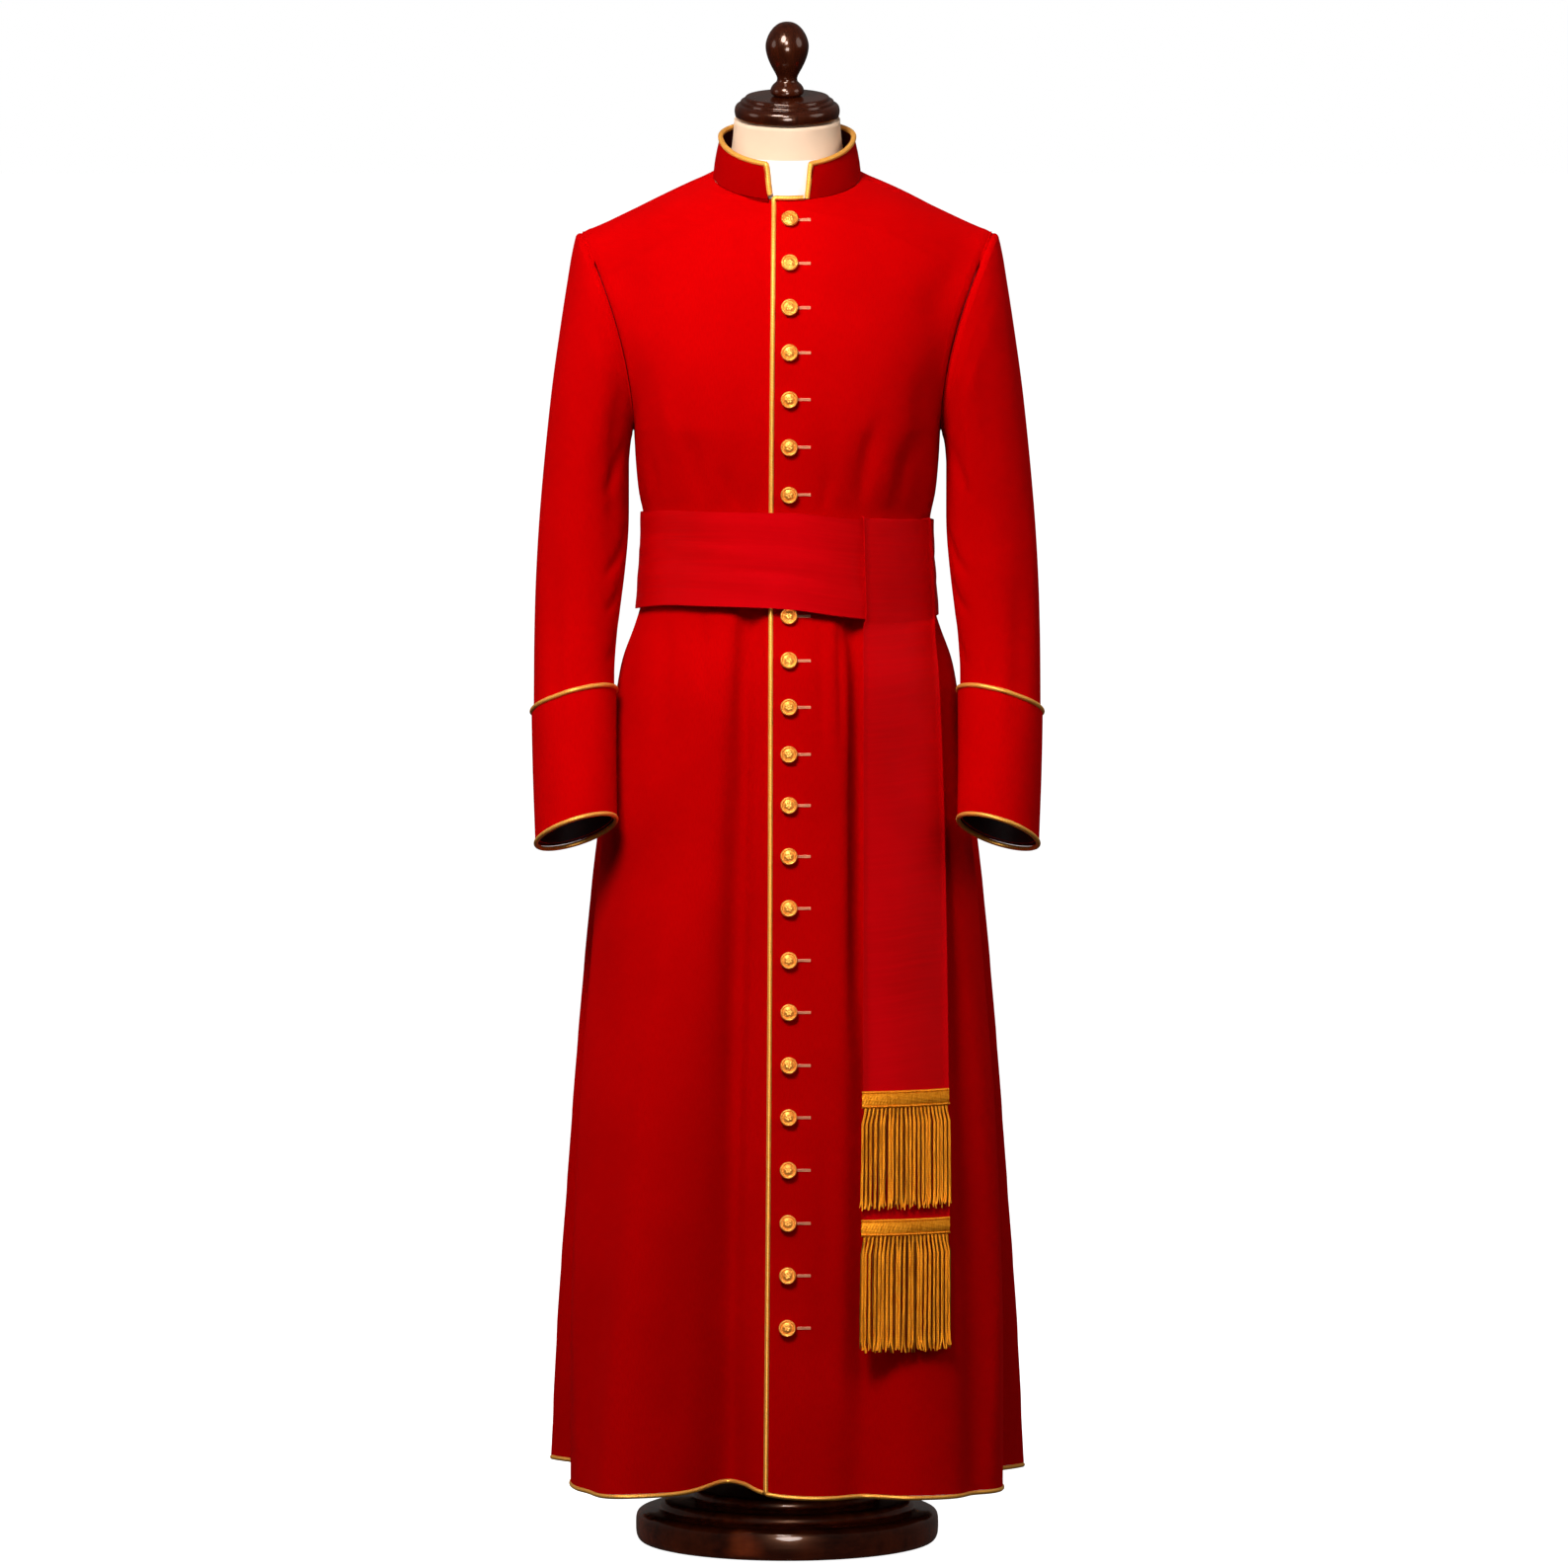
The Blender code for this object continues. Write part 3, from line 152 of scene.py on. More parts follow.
NECK_HALF_WIDTH = 0.0820
NECK_SIDE_HEIGHT = 1.5270

# --- sleeves: outer x, outer z, inner x, inner z, centre y, half depth, bow to the body, front rise
SLEEVE = (
    (0.2275, 1.4645, 0.1700, 1.2470, 0.0000, 0.0680, 0.0120, 0.000),
    (0.2340, 1.4600, 0.1718, 1.2420, 0.0000, 0.0715, 0.0090, 0.000),
    (0.2390, 1.4400, 0.1738, 1.2320, 0.0000, 0.0740, 0.0050, 0.000),
    (0.2435, 1.4130, 0.1750, 1.2220, -0.001, 0.0740, 0.0025, 0.000),
    (0.2510, 1.3650, 0.1760, 1.2060, -0.002, 0.0710, 0.0010, 0.000),
    (0.2605, 1.2980, 0.1760, 1.1850, -0.004, 0.0660, 0.0000, 0.000),
    (0.2680, 1.2300, 0.1760, 1.1580, -0.006, 0.0615, 0.0000, 0.001),
    (0.2740, 1.1640, 0.1770, 1.1250, -0.009, 0.0580, 0.0000, 0.002),
    (0.2780, 1.1000, 0.1810, 1.0830, -0.016, 0.0550, 0.0000, 0.004),
    (0.2805, 1.0300, 0.1870, 1.0340, -0.028, 0.0520, 0.0000, 0.008),
    (0.2810, 0.9550, 0.1915, 0.9770, -0.048, 0.0500, 0.0000, 0.014),
    (0.2795, 0.8800, 0.1915, 0.9050, -0.074, 0.0485, 0.0000, 0.017),
    (0.2760, 0.7960, 0.1905, 0.8220, -0.104, 0.0470, 0.0000, 0.018),
)
SLEEVE_END = 11.97             # place along the sleeve's rows where the cloth ends
SLEEVE_SHIFT = 0.0006          # the cap starts this far outside the armhole seam
CUFF_ROWS = (10.3, 12.0)
CUFF_STAND = 0.0026            # the turned-back cuff's outer face stands this far off the sleeve's

# --- collar ---------------------------------------------------------------------------------------
COLLAR_LIFT = 0.0008
COLLAR_HALF_WIDTH = 0.0748
COLLAR_FRONT = (0.0770, 1.5371)     # depth and height of the top edge at the centre front
COLLAR_BACK = (0.0640, 1.5840)
COLLAR_SIDE_HEIGHT = 1.5680
NOTCH_LEFT = 0.0245                 # x of the notch's edge on the wearer's left
NOTCH_RIGHT = -0.0215
NOTCH_SPLAY = 0.0036
INSERT_HALF_ANGLE = 50.0
INSERT_FADE = 60.0                  # angle at which the insert dips below the collar's edge
INSERT_LIFT = 0.0010
INSERT_RISE = 0.0078                # how far it stands above the collar

# --- sash -----------------------------------------------------------------------------------------
# angle (deg), top edge, bottom edge
BAND = (
    (-180, 1.152, 1.044),
    (-90, 1.154, 1.046),
    (-45, 1.160, 1.056),
    (0, 1.160, 1.054),
    (20, 1.154, 1.046),
    (35, 1.150, 1.041),
    (90, 1.145, 1.040),
    (180, 1.152, 1.044),
)
# share of the band's height, half width, front depth, back depth
BAND_SECTION = (
    (0.00, 0.1690, 0.1392, 0.1230),
    (0.35, 0.1664, 0.1370, 0.1178),
    (0.70, 0.1640, 0.1358, 0.1147),
    (1.00, 0.1632, 0.1362, 0.1136),
)
# height, x of the inner edge, x of the outer edge
TAIL = ((0.230, 0.0810, 0.1780), (0.530, 0.0834, 0.1770), (0.985, 0.0834, 0.1660),
        (1.100, 0.0830, 0.1560), (1.160, 0.0800, 0.1550))
WAIST = 1.100                  # height of the sash's middle
WRAP_LIMIT = 0.995
TURN_STEPS = 5
# end of the cloth, stand-off from the skirt, top and end of the woven header, end of the fringe
UPPER_TAIL = (0.5140, 0.0068, 0.5285, 0.5100, 0.3970)
LOWER_TAIL = (0.3740, 0.0049, 0.3885, 0.3700, 0.2410)
TAIL_TOP = 1.028               # height where the upper tail leaves the band
LOWER_TOP = 0.985              # height where the lower tail starts, under the upper one
TAIL_OVER_BAND = 0.0018        # the upper tail's outer face lies this far outside the band
# drop below the band's top, distance outside it: the tail rolls over the top edge of the band
TAIL_ROLL = ((-0.0024, -0.0012), (-0.0022, 0.0004), (-0.0008, TAIL_OVER_BAND),
             (0.0200, TAIL_OVER_BAND), (0.0600, TAIL_OVER_BAND), (0.1020, TAIL_OVER_BAND))
HEADER_WALL = 0.0022
FRINGE_SPREAD = 0.0025

# --- buttons --------------------------------------------------------------------------------------
BUTTON_HEIGHTS = (1.4808, 1.4335, 1.3852, 1.3360, 1.2847, 1.2322, 1.1797, 1.1343, 1.0910, 1.0458,
                  0.9976, 0.9470, 0.8954, 0.8397, 0.7840, 0.7273, 0.6706, 0.6139, 0.5561, 0.4994,
                  0.4421, 0.3843, 0.3271, 0.2699)
# height, how far the row of buttons lies to the left of the centre
BUTTON_LINE = ((0.2600, 0.0), (0.6200, 0.0019), (1.0000, 0.0019), (1.4800, 0.0029))
HIDDEN_BUTTONS = (8, 9)        # numbers of the buttons under the sash, which need no buttonhole

# --- resolution and detail sizes ------------------------------------------------------------------
SKIRT_ROWS, YOKE_ROWS = 146, 72
FRONT_COLUMNS, BACK_COLUMNS = 84, 66
FRONT_SHARE, FRONT_CORNER = 0.62, 62.0    # share of the columns ahead of the side pleat, and its angle
BACK_SHARE, BACK_CORNER = 0.66, 74.0
SLEEVE_ROWS, SLEEVE_COLUMNS = 176, 90
CUFF_RINGS = 46
COLLAR_ROWS, COLLAR_COLUMNS, INSERT_COLUMNS = 14, 170, 60
BAND_ROWS, BAND_COLUMNS = 34, 220
TAIL_ROWS, TAIL_COLUMNS, TAIL_KEYS = 170, 28, 12
HEADER_ROWS, HEADER_COLUMNS = 12, 120
CENTRE_COLUMNS = 26
CREASE_TAPER = 0.38            # share of a crease's length over which it fades at each end
DRAPE_WAVES = 7
DRAPE_DEPTH = 0.0012
BODY_WAVE, SLEEVE_WAVE, TAIL_SWELL = 0.16, 0.11, 0.07   # usual length of the waves
SEAM_TURN = 45.0               # waves fade over this much turn beside the sleeve's seam
PLACKET = 0.020                # half width of the firm buttoned edge
PLACKET_SHARE = 0.35           # share of a crease's depth left there
EDGE_FADE = 0.022
SEAM_DEPTH, SEAM_RIDGE = 0.0011, 0.00035
SEAM_WIDTH, SEAM_ALLOWANCE = 0.0022, 0.0085
CUFF_STIFFNESS = 0.55
COLLAR_BULGE = 0.0010
TUCK_IN, TUCK_DOWN = 0.0009, 0.0036    # the collar's seam allowance inside the neck
YOKE_PASSES, YOKE_EASE = 70, 0.030
INSERT_BACK = 0.0022
SASH_RIPPLE, SASH_RIPPLES = 0.00022, 3.3           # depth, and ripples from edge to edge
SASH_RIPPLE_DRIFT, SASH_RIPPLE_TURN = 2.0, 2.1     # how far and how often they wander round the waist
BAND_STRETCH = 100.0           # degrees round the band that count as much as its whole height
SASH_HEM, SASH_HEM_DEPTH, SASH_HEM_WIDTH = 0.0050, 0.00035, 0.0008
TAIL_WAVE, TAIL_FIRM = 0.0010, 0.010    # depth of its waves, and how near the edge they die out
TAIL_EDGE_RISE, TAIL_EDGE_WIDTH = 0.0016, 0.0028    # the turned edge stands a little proud
HEADER_SPREAD, HEADER_SWELL, HEADER_SINK, HEADER_WEAVE = 0.0010, 0.0020, 0.0008, 0.00022
HEADER_WEAVE_STEP, HEADER_WEAVE_LEAN = 0.0034, 900.0
CORD_RADIUS, CORD_PITCH = 0.0012, 0.0042
CORD_STEPS, PLY_OFFSET, PLY_RADIUS = 7, 0.50, 0.62     # points for each turn; shares of the cord's radius
FRINGE_KNOTS, FRINGE_POINTS = 22, 14
FRINGE_CLUSTER = (-0.17, 0.0, 0.17)     # strands hanging from a knot, as shares of the knots' spacing
FRINGE_BACKING = 40                     # strands in the layer behind
FRINGE_THREAD = 0.00074
FRINGE_RAGGED, FRINGE_SWAY, FRINGE_SWING = 0.0070, 0.0065, 4.2
FRINGE_OPENS, FRINGE_TIP = 0.16, 0.10   # shares of a strand over which it spreads out, and its tip curls
FRINGE_CURL, FRINGE_LIFT = 0.0011, 0.00132      # how far a tip curls outwards and up
FRINGE_GATHER = 0.0012                  # how far the strands are drawn in under the header
FRINGE_UNEVEN, FRINGE_BULB = (0.88, 1.12), (1.30, 0.90)  # range of thickness; thickness at the tip
FRINGE_STRAY, FRINGE_SLIP, FRINGE_TWIST = 0.22, 0.05, 0.5   # shares of the knots' spacing
BACKING_SWAY, BACKING_SINK = 0.004, 0.002368    # the layer behind: its sway, and how far in it lies
KNOT_RADIUS, KNOT_LENGTH, KNOT_DROP, KNOT_SINK = 0.0016, 0.0080, 0.0006, 0.00144
KNOT_SHAPE = np.array([0.55, 1.0, 0.85, 1.05, 0.9, 0.5])    # its thickness from top to bottom
PIPE_STEP = 0.0022
PIPE_TURN, HEM_TURN, COLLAR_TURN = 0.005, 0.004, 0.009  # how widely each piping rounds its corners
COLLAR_PIPE_RADIUS = 0.0030
PIPE_SIDES = 12
HEM_PIPE_BACK = 0.0030         # the hem piping stops this far short of the side seam
NECK_PIPE_START, NECK_PIPE_END = -11.0, 12.5   # angles where the neck piping starts and meets the collar
NECK_PIPE_LIFT = (0.0, -0.45, 0.70)     # its place outside the neck seam, in cord reaches
CUFF_PIPE_SINK = 0.20                   # share of the wall by which a cuff's upper piping lies in
COLLAR_PIPE_LIFT = 0.0045
BUTTON_RADIUS, BUTTON_GAP, BUTTON_SIDES = 0.0095, 0.0003, 48
# radius, height above the cloth: from the crown's centre round the rim to the shank
BUTTON_PROFILE = ((0.0, 0.0047), (0.0015, 0.0047), (0.0030, 0.0045), (0.0045, 0.0041),
                  (0.0058, 0.0036), (0.0066, 0.0032), (0.0071, 0.0040), (0.0079, 0.0052),
                  (0.0088, 0.0048), (0.0096, 0.0035), (0.0094, 0.0022), (0.0080, 0.0013),
                  (0.0050, 0.0012), (0.0026, 0.0012), (0.0022, 0.0006), (0.0022, 0.0002),
                  (0.0, 0.0002))
BUTTON_CROWN_ROWS = 31
PETALS, BEADS = 6.0, 24.0
ROSETTE_RISE, HEART_RISE, BEAD_RISE = 0.0006, 0.00048, 0.00027
PETAL_RING, PETAL_LENGTH, HEART_RADIUS = 0.0030, 0.0013, 0.0009
BEAD_RING, BEAD_WIDTH = 0.0053, 0.0004
BUTTON_SPIN = 37.0             # each button is sewn on turned this much from the last (deg)
HOLE_START, HOLE_END, HOLE_WIDTH = 0.0112, 0.0250, 0.0024
HOLE_STITCHES, HOLE_THREAD = 19, 0.00034
PURL, BAR, BAR_LENGTH = 1.15, 1.60, 1.30    # thickness of the edge and end bar; the bar's length
PURL_LIFT, STITCH_LIFT = 0.0002, 0.0003

# --- dress form -----------------------------------------------------------------------------------
NECK_TILT = math.radians(9.4)
CAP_BASE = 1.59
RIM_HEIGHT = 0.012             # the neck's crisp rim reaches this far below the cap
WELD, JOIN_ANGLE, JOIN_SHAPE = 0.00001, 0.7, 0.9    # metres and radians, for cleaning the torso's mesh
# radius, height above the neck's top
CAP_PROFILE = ((0.0, 0.0257), (0.0300, 0.0257), (0.0442, 0.0256), (0.0458, 0.0252), (0.0467, 0.0243),
               (0.0470, 0.0232), (0.0471, 0.0220), (0.0476, 0.0215), (0.0497, 0.0213), (0.0510, 0.0209),
               (0.0517, 0.0201), (0.0520, 0.0190), (0.0521, 0.0178), (0.0526, 0.0173), (0.0545, 0.0168),
               (0.0565, 0.0155), (0.0578, 0.0134), (0.0584, 0.0105), (0.0584, 0.0075), (0.0578, 0.0042),
               (0.0566, 0.0018), (0.0550, 0.0006), (0.0530, 0.0004), (0.0, 0.0004))
FINIAL_PROFILE = ((0.0, 0.1088), (0.0070, 0.1082), (0.0125, 0.1050), (0.0175, 0.1000), (0.0215, 0.0930),
                  (0.0238, 0.0860), (0.0242, 0.0800), (0.0230, 0.0725), (0.0200, 0.0640), (0.0160, 0.0560),
                  (0.0122, 0.0495), (0.0108, 0.0455), (0.0116, 0.0415), (0.0155, 0.0390), (0.0188, 0.0340),
                  (0.0188, 0.0290), (0.0160, 0.0270), (0.0160, 0.0261), (0.0, 0.0261))
BASE_PROFILE = ((0.0, 0.0680), (0.0300, 0.0680), (0.0345, 0.0650), (0.0362, 0.0612), (0.0500, 0.0604),
                (0.0960, 0.0600), (0.1010, 0.0592), (0.1032, 0.0570), (0.1036, 0.0530), (0.1045, 0.0500),
                (0.1090, 0.0492), (0.1330, 0.0488), (0.1380, 0.0478), (0.1404, 0.0452), (0.1410, 0.0410),
                (0.1420, 0.0382), (0.1460, 0.0374), (0.1600, 0.0368), (0.1660, 0.0350), (0.1688, 0.0312),
                (0.1694, 0.0250), (0.1694, 0.0150), (0.1688, 0.0080), (0.1660, 0.0025), (0.1600, 0.0),
                (0.1000, 0.0), (0.0, 0.0))
POLE_PROFILE = ((0.0, 0.7196), (0.0440, 0.7196), (0.0450, 0.7190), (0.0450, 0.7120), (0.0200, 0.7080),
                (0.0160, 0.7040), (0.0160, 0.4000), (0.0160, 0.0700), (0.0160, 0.0684), (0.0, 0.0684))

# --- colours (linear) -----------------------------------------------------------------------------
WOOL_DEEP, WOOL_BRIGHT, WOOL_THREAD = (0.62, 0.0001, 0.0006), (0.71, 0.0002, 0.0008), (0.50, 0.0001, 0.0006)
SILK_DEEP, SILK_BRIGHT, SILK_THREAD = (0.58, 0.0001, 0.0006), (0.68, 0.0001, 0.0014), (0.76, 0.0002, 0.0024)
PIPING_DEEP, PIPING_BRIGHT, PIPING_LIGHT = (1.00, 0.36, 0.040), (1.00, 0.46, 0.075), (1.00, 0.62, 0.18)
# THREAD_SHADE is the painted shade in the hollows of the twist
THREAD_DEEP, THREAD_BRIGHT, THREAD_SHADE = (0.80, 0.215, 0.004), (1.00, 0.370, 0.018), (0.24, 0.045, 0.001)
BRASS_DEEP, BRASS_BRIGHT = (0.72, 0.23, 0.022), (1.00, 0.46, 0.080)
# painted shade: near-black colours for the inner faces of the garment, collar and cuffs, where shade falls
INSIDE_SHADE_DEEP, INSIDE_SHADE_BRIGHT = (0.055, 0.0020, 0.0035), (0.085, 0.0030, 0.0050)
LINEN_DEEP, LINEN_BRIGHT, LINEN_THREAD = (0.84, 0.59, 0.41), (0.90, 0.64, 0.45), (0.78, 0.53, 0.36)
COLLAR_PAINTED_SHADE = 0.62            # painted shade: the standing collar's scarlet is made deeper, for the shade that falls on it
WHITE_COOL, WHITE_WARM = (0.84, 0.84, 0.88), (0.90, 0.90, 0.91)
WOOD_DEEP, WOOD_BRIGHT, WOOD_RED = (0.016, 0.0030, 0.0011), (0.034, 0.0062, 0.0020), (0.090, 0.017, 0.004)
BUTTONHOLE_PINK, BUTTONHOLE_GOLD = (0.95, 0.27, 0.16), (1.00, 0.45, 0.22)
THREAD_GLOSS = (1.0, 0.62, 0.16)
SILK_GLOSS = (1.0, 0.002, 0.018)
CAP_GRAIN, STAND_GRAIN = (240.0, 240.0, 30.0), (10.0, 110.0, 110.0)
WOOD_GLOSS = (1.0, 0.62, 0.42)
BASE_PAINTED_LIGHT = 10.0              # painted light: the base's mahogany is made lighter than the cap's, for the light that the skirt keeps from it
BRAID_SHADE, FRINGE_SHADE = 0.20, 0.45     # painted shade: how dark the twist's hollows are painted in the braid and the fringe
FRINGE_BACK_DIM = 0.16         # the layer behind lies in the shade of the strands before it
FLOOR_COOL, FLOOR_WARM = (0.90, 0.90, 0.90), (0.93, 0.93, 0.92)
FLOOR_GLOW = 0.98

# --- light and camera -----------------------------------------------------------------------------
# name, place, point it faces, size, power in watts; a glint is only seen in reflections, a back
# light never
LIGHTS = (
    ("key", (-0.58, -1.47, 2.50), (0.0, -0.10, 1.30), 0.75, 44.0),
    ("left", (-2.60, -0.60, 2.00), (0.0, -0.10, 1.10), 1.20, 7.5),
    ("right", (2.20, -0.90, 2.20), (0.0, 0.00, 1.20), 1.40, 12.0),
    ("glint", (-0.30, -5.20, 3.10), (0.0, 0.0, 0.90), 1.30, 130.0),
    ("glint_low", (0.10, -4.50, 0.45), (0.0, 0.0, 0.60), 1.50, 110.0),
    ("back_left", (-2.20, 2.40, 2.60), (0.0, 0.00, 1.20), 1.60, 18.0),
    ("back_right", (2.20, 2.40, 2.60), (0.0, 0.00, 1.20), 1.60, 18.0),
)
SKY_LOW, SKY_HIGH = 0.03, 0.12       # world strength below and above the horizon
CAMERA_PLACE = (-0.0035, -11.96, 1.833)
CAMERA_TARGET = (-0.0035, 0.0, 0.85)
CAMERA_LENS = 247.3
FLOOR_HALF = 60.0

# --- creases: one row each, a soft trough (depth > 0) or ridge (depth < 0) --------------------------
# x and height where it starts, x and height where it ends, bow to the side, half width, depth
FRONT_CREASES = (
    (-0.117, 1.262, -0.093, 1.158, 0.004, 0.0075, 0.0028),
    (-0.078, 1.215, -0.056, 1.156, 0.003, 0.0065, 0.0022),
    (-0.157, 1.235, -0.143, 1.150, 0.003, 0.0060, 0.0022),
    (-0.138, 1.300, -0.122, 1.165, 0.004, 0.0100, -0.0020),
    (-0.036, 1.196, -0.030, 1.158, 0.001, 0.0045, 0.0014),
    (0.103, 1.275, 0.081, 1.152, -0.005, 0.0085, 0.0042),
    (0.118, 1.255, 0.108, 1.160, -0.003, 0.0110, -0.0022),
    (0.045, 1.215, 0.037, 1.152, 0.002, 0.0060, 0.0018),
    (0.060, 1.255, 0.060, 1.160, 0.000, 0.0100, -0.0016),
    (0.143, 1.250, 0.122, 1.152, -0.004, 0.0080, 0.0034),
    (0.155, 1.330, 0.150, 1.190, -0.004, 0.0120, 0.0030),
    (-0.160, 1.330, -0.152, 1.200, 0.004, 0.0120, 0.0026),
    (-0.195, 1.440, -0.150, 1.345, 0.008, 0.0160, 0.0018),
    (0.195, 1.440, 0.152, 1.345, -0.008, 0.0160, 0.0022),
    (0.062, 1.500, 0.105, 1.440, 0.004, 0.0120, 0.0012),
    (-0.060, 1.500, -0.100, 1.445, -0.004, 0.0120, 0.0010),
    (-0.049, 1.090, -0.052, 0.880, 0.000, 0.0048, 0.0050),
    (-0.091, 1.062, -0.098, 0.955, 0.000, 0.0045, 0.0034),
    (-0.132, 1.062, -0.140, 0.900, 0.000, 0.0080, 0.0030),
    (-0.070, 1.060, -0.075, 0.870, 0.000, 0.0100, -0.0024),
    (0.058, 1.085, 0.062, 0.860, 0.000, 0.0050, 0.0046),
    (0.036, 1.056, 0.040, 0.880, 0.000, 0.0070, 0.0022),
    (-0.029, 1.085, -0.031, 0.930, 0.000, 0.0040, 0.0034),
    (0.130, 1.056, 0.146, 0.860, 0.000, 0.0080, 0.0030),
    (-0.053, 1.000, -0.062, 0.330, 0.000, 0.0120, 0.0052),
    (0.079, 1.040, 0.076, 0.520, 0.000, 0.0085, 0.0060),
    (-0.118, 0.940, -0.150, 0.420, 0.004, 0.0170, 0.0038),
    (-0.170, 0.860, -0.200, 0.300, 0.006, 0.0180, -0.0030),
    (0.010, 0.980, 0.012, 0.300, 0.003, 0.0150, 0.0020),
    (0.150, 0.820, 0.190, 0.240, -0.005, 0.0170, 0.0040),
    (-0.030, 0.700, -0.050, 0.150, -0.004, 0.0160, -0.0022),
    (0.040, 0.560, 0.046, 0.120, 0.003, 0.0150, 0.0034),
    (-0.120, 0.400, -0.128, 0.085, 0.002, 0.0140, 0.0036),
)
BACK_CREASES = (
    (-0.120, 1.290, -0.085, 1.145, 0.004, 0.0090, 0.0034),
    (-0.060, 1.240, -0.048, 1.145, 0.003, 0.0075, 0.0028),
    (-0.150, 1.260, -0.135, 1.145, 0.003, 0.0070, 0.0026),
    (0.116, 1.285, 0.090, 1.145, -0.004, 0.0090, 0.0030),
    (0.066, 1.235, 0.050, 1.145, -0.002, 0.0080, 0.0028),
    (0.152, 1.255, 0.138, 1.145, -0.003, 0.0070, 0.0028),
    (0.030, 1.215, 0.024, 1.145, 0.002, 0.0070, 0.0020),
    (-0.026, 1.225, -0.022, 1.145, -0.002, 0.0070, 0.0018),
    (-0.165, 1.420, -0.140, 1.300, 0.006, 0.0150, 0.0024),
    (0.165, 1.420, 0.142, 1.305, -0.006, 0.0150, 0.0022),
    (-0.050, 1.052, -0.058, 0.880, 0.000, 0.0060, 0.0050),
    (-0.100, 1.052, -0.112, 0.920, 0.000, 0.0055, 0.0040),
    (0.046, 1.052, 0.052, 0.900, 0.000, 0.0060, 0.0046),
    (0.098, 1.052, 0.112, 0.870, 0.000, 0.0060, 0.0044),
    (0.020, 1.045, 0.024, 0.820, 0.002, 0.0090, 0.0024),
    (-0.130, 0.920, -0.165, 0.330, 0.006, 0.0180, 0.0040),
    (0.134, 0.900, 0.168, 0.280, -0.006, 0.0180, 0.0038),
    (-0.030, 0.860, -0.040, 0.200, 0.004, 0.0160, -0.0030),
    (0.035, 0.760, 0.046, 0.160, -0.004, 0.0160, 0.0034),
)
# turn (deg) and height where it starts, turn and height where it ends, bow, half width, depth
SLEEVE_CREASES = (
    (70.0, 1.440, 76.0, 1.180, 0.006, 0.0140, 0.0022),
    (30.0, 1.430, 40.0, 1.230, 0.004, 0.0150, -0.0018),
    (118.0, 1.330, 128.0, 1.090, 0.006, 0.0110, 0.0030),
    (150.0, 1.245, 112.0, 1.165, 0.006, 0.0080, 0.0034),
    (172.0, 1.150, 118.0, 1.078, 0.008, 0.0075, 0.0036),
    (176.0, 1.090, 126.0, 1.040, 0.006, 0.0070, 0.0030),
    (186.0, 1.040, 140.0, 0.985, 0.006, 0.0080, 0.0030),
    (60.0, 1.120, 78.0, 0.880, -0.006, 0.0130, 0.0022),
    (20.0, 1.180, 34.0, 0.900, 0.004, 0.0150, -0.0016),
    (100.0, 1.030, 104.0, 0.860, 0.004, 0.0110, 0.0022),
    (235.0, 1.250, 262.0, 1.160, -0.006, 0.0090, 0.0034),
    (215.0, 1.150, 262.0, 1.085, -0.008, 0.0080, 0.0036),
    (225.0, 1.080, 275.0, 1.030, -0.006, 0.0080, 0.0032),
    (290.0, 1.400, 296.0, 1.130, 0.006, 0.0140, 0.0024),
    (300.0, 1.050, 286.0, 0.860, 0.006, 0.0130, 0.0024),
    (330.0, 1.240, 336.0, 0.980, 0.004, 0.0150, -0.0018),
)
SLEEVE_GIRTH = 0.055           # metres round the sleeve for each radian of turn
# angle (deg) and share of the band's height at each end, bow, half width, depth
BAND_CREASES = (
    (-62.0, 0.66, -8.0, 0.58, 0.06, 0.035, 0.0004),
    (-40.0, 0.36, 24.0, 0.30, 0.05, 0.030, 0.0004),
    (-70.0, 0.24, -20.0, 0.17, 0.03, 0.030, 0.0003),
    (-16.0, 0.80, 30.0, 0.74, 0.03, 0.025, 0.0003),
    (4.0, 0.50, 44.0, 0.54, -0.03, 0.028, 0.0003),
    (-120.0, 0.58, -70.0, 0.64, 0.05, 0.040, 0.0004),
    (60.0, 0.60, 120.0, 0.52, 0.04, 0.035, 0.0004),
    (70.0, 0.28, 130.0, 0.36, 0.04, 0.035, 0.0004),
    (-178.0, 0.70, -118.0, 0.62, -0.04, 0.035, 0.0004),
    (-170.0, 0.34, -100.0, 0.30, 0.03, 0.035, 0.0004),
    (124.0, 0.70, 178.0, 0.66, 0.03, 0.035, 0.0004),
    (118.0, 0.22, 176.0, 0.26, -0.03, 0.030, 0.0004),
    (28.8, 0.02, 28.8, 0.98, 0.00, 0.020, 0.0011),
)


# === curves and tables ============================================================================
def table(rows, column, where):
    """Smooth (monotone cubic) reading of one column of a table at one or many places."""
    keys = np.array([row[0] for row in rows], float)
    values = np.array([row[column] for row in rows], float)
    slopes = np.diff(values) / np.diff(keys)
    tangents = np.concatenate(([slopes[0]], 0.5 * (slopes[1:] + slopes[:-1]), [slopes[-1]]))
    flat = slopes[1:] * slopes[:-1] <= 0.0
    tangents[1:-1][flat] = 0.0
    where = np.clip(np.asarray(where, float), keys[0], keys[-1])
    index = np.clip(np.searchsorted(keys, where, side="right") - 1, 0, len(keys) - 2)
    span = keys[index + 1] - keys[index]
    t = (where - keys[index]) / span
    return ((2 * t**3 - 3 * t**2 + 1) * values[index] + (t**3 - 2 * t**2 + t) * span * tangents[index]
            + (3 * t**2 - 2 * t**3) * values[index + 1] + (t**3 - t**2) * span * tangents[index + 1])


def ease(t):
    """Smooth step from 0 to 1."""
    t = np.clip(t, 0.0, 1.0)
    return t * t * (3.0 - 2.0 * t)


def read_row(rows, place):
    """All columns of a table read between its rows, at a place counted in rows."""
    counted = [(index,) + tuple(row) for index, row in enumerate(rows)]
    return [float(table(counted, column, place)) for column in range(1, len(rows[0]) + 1)]


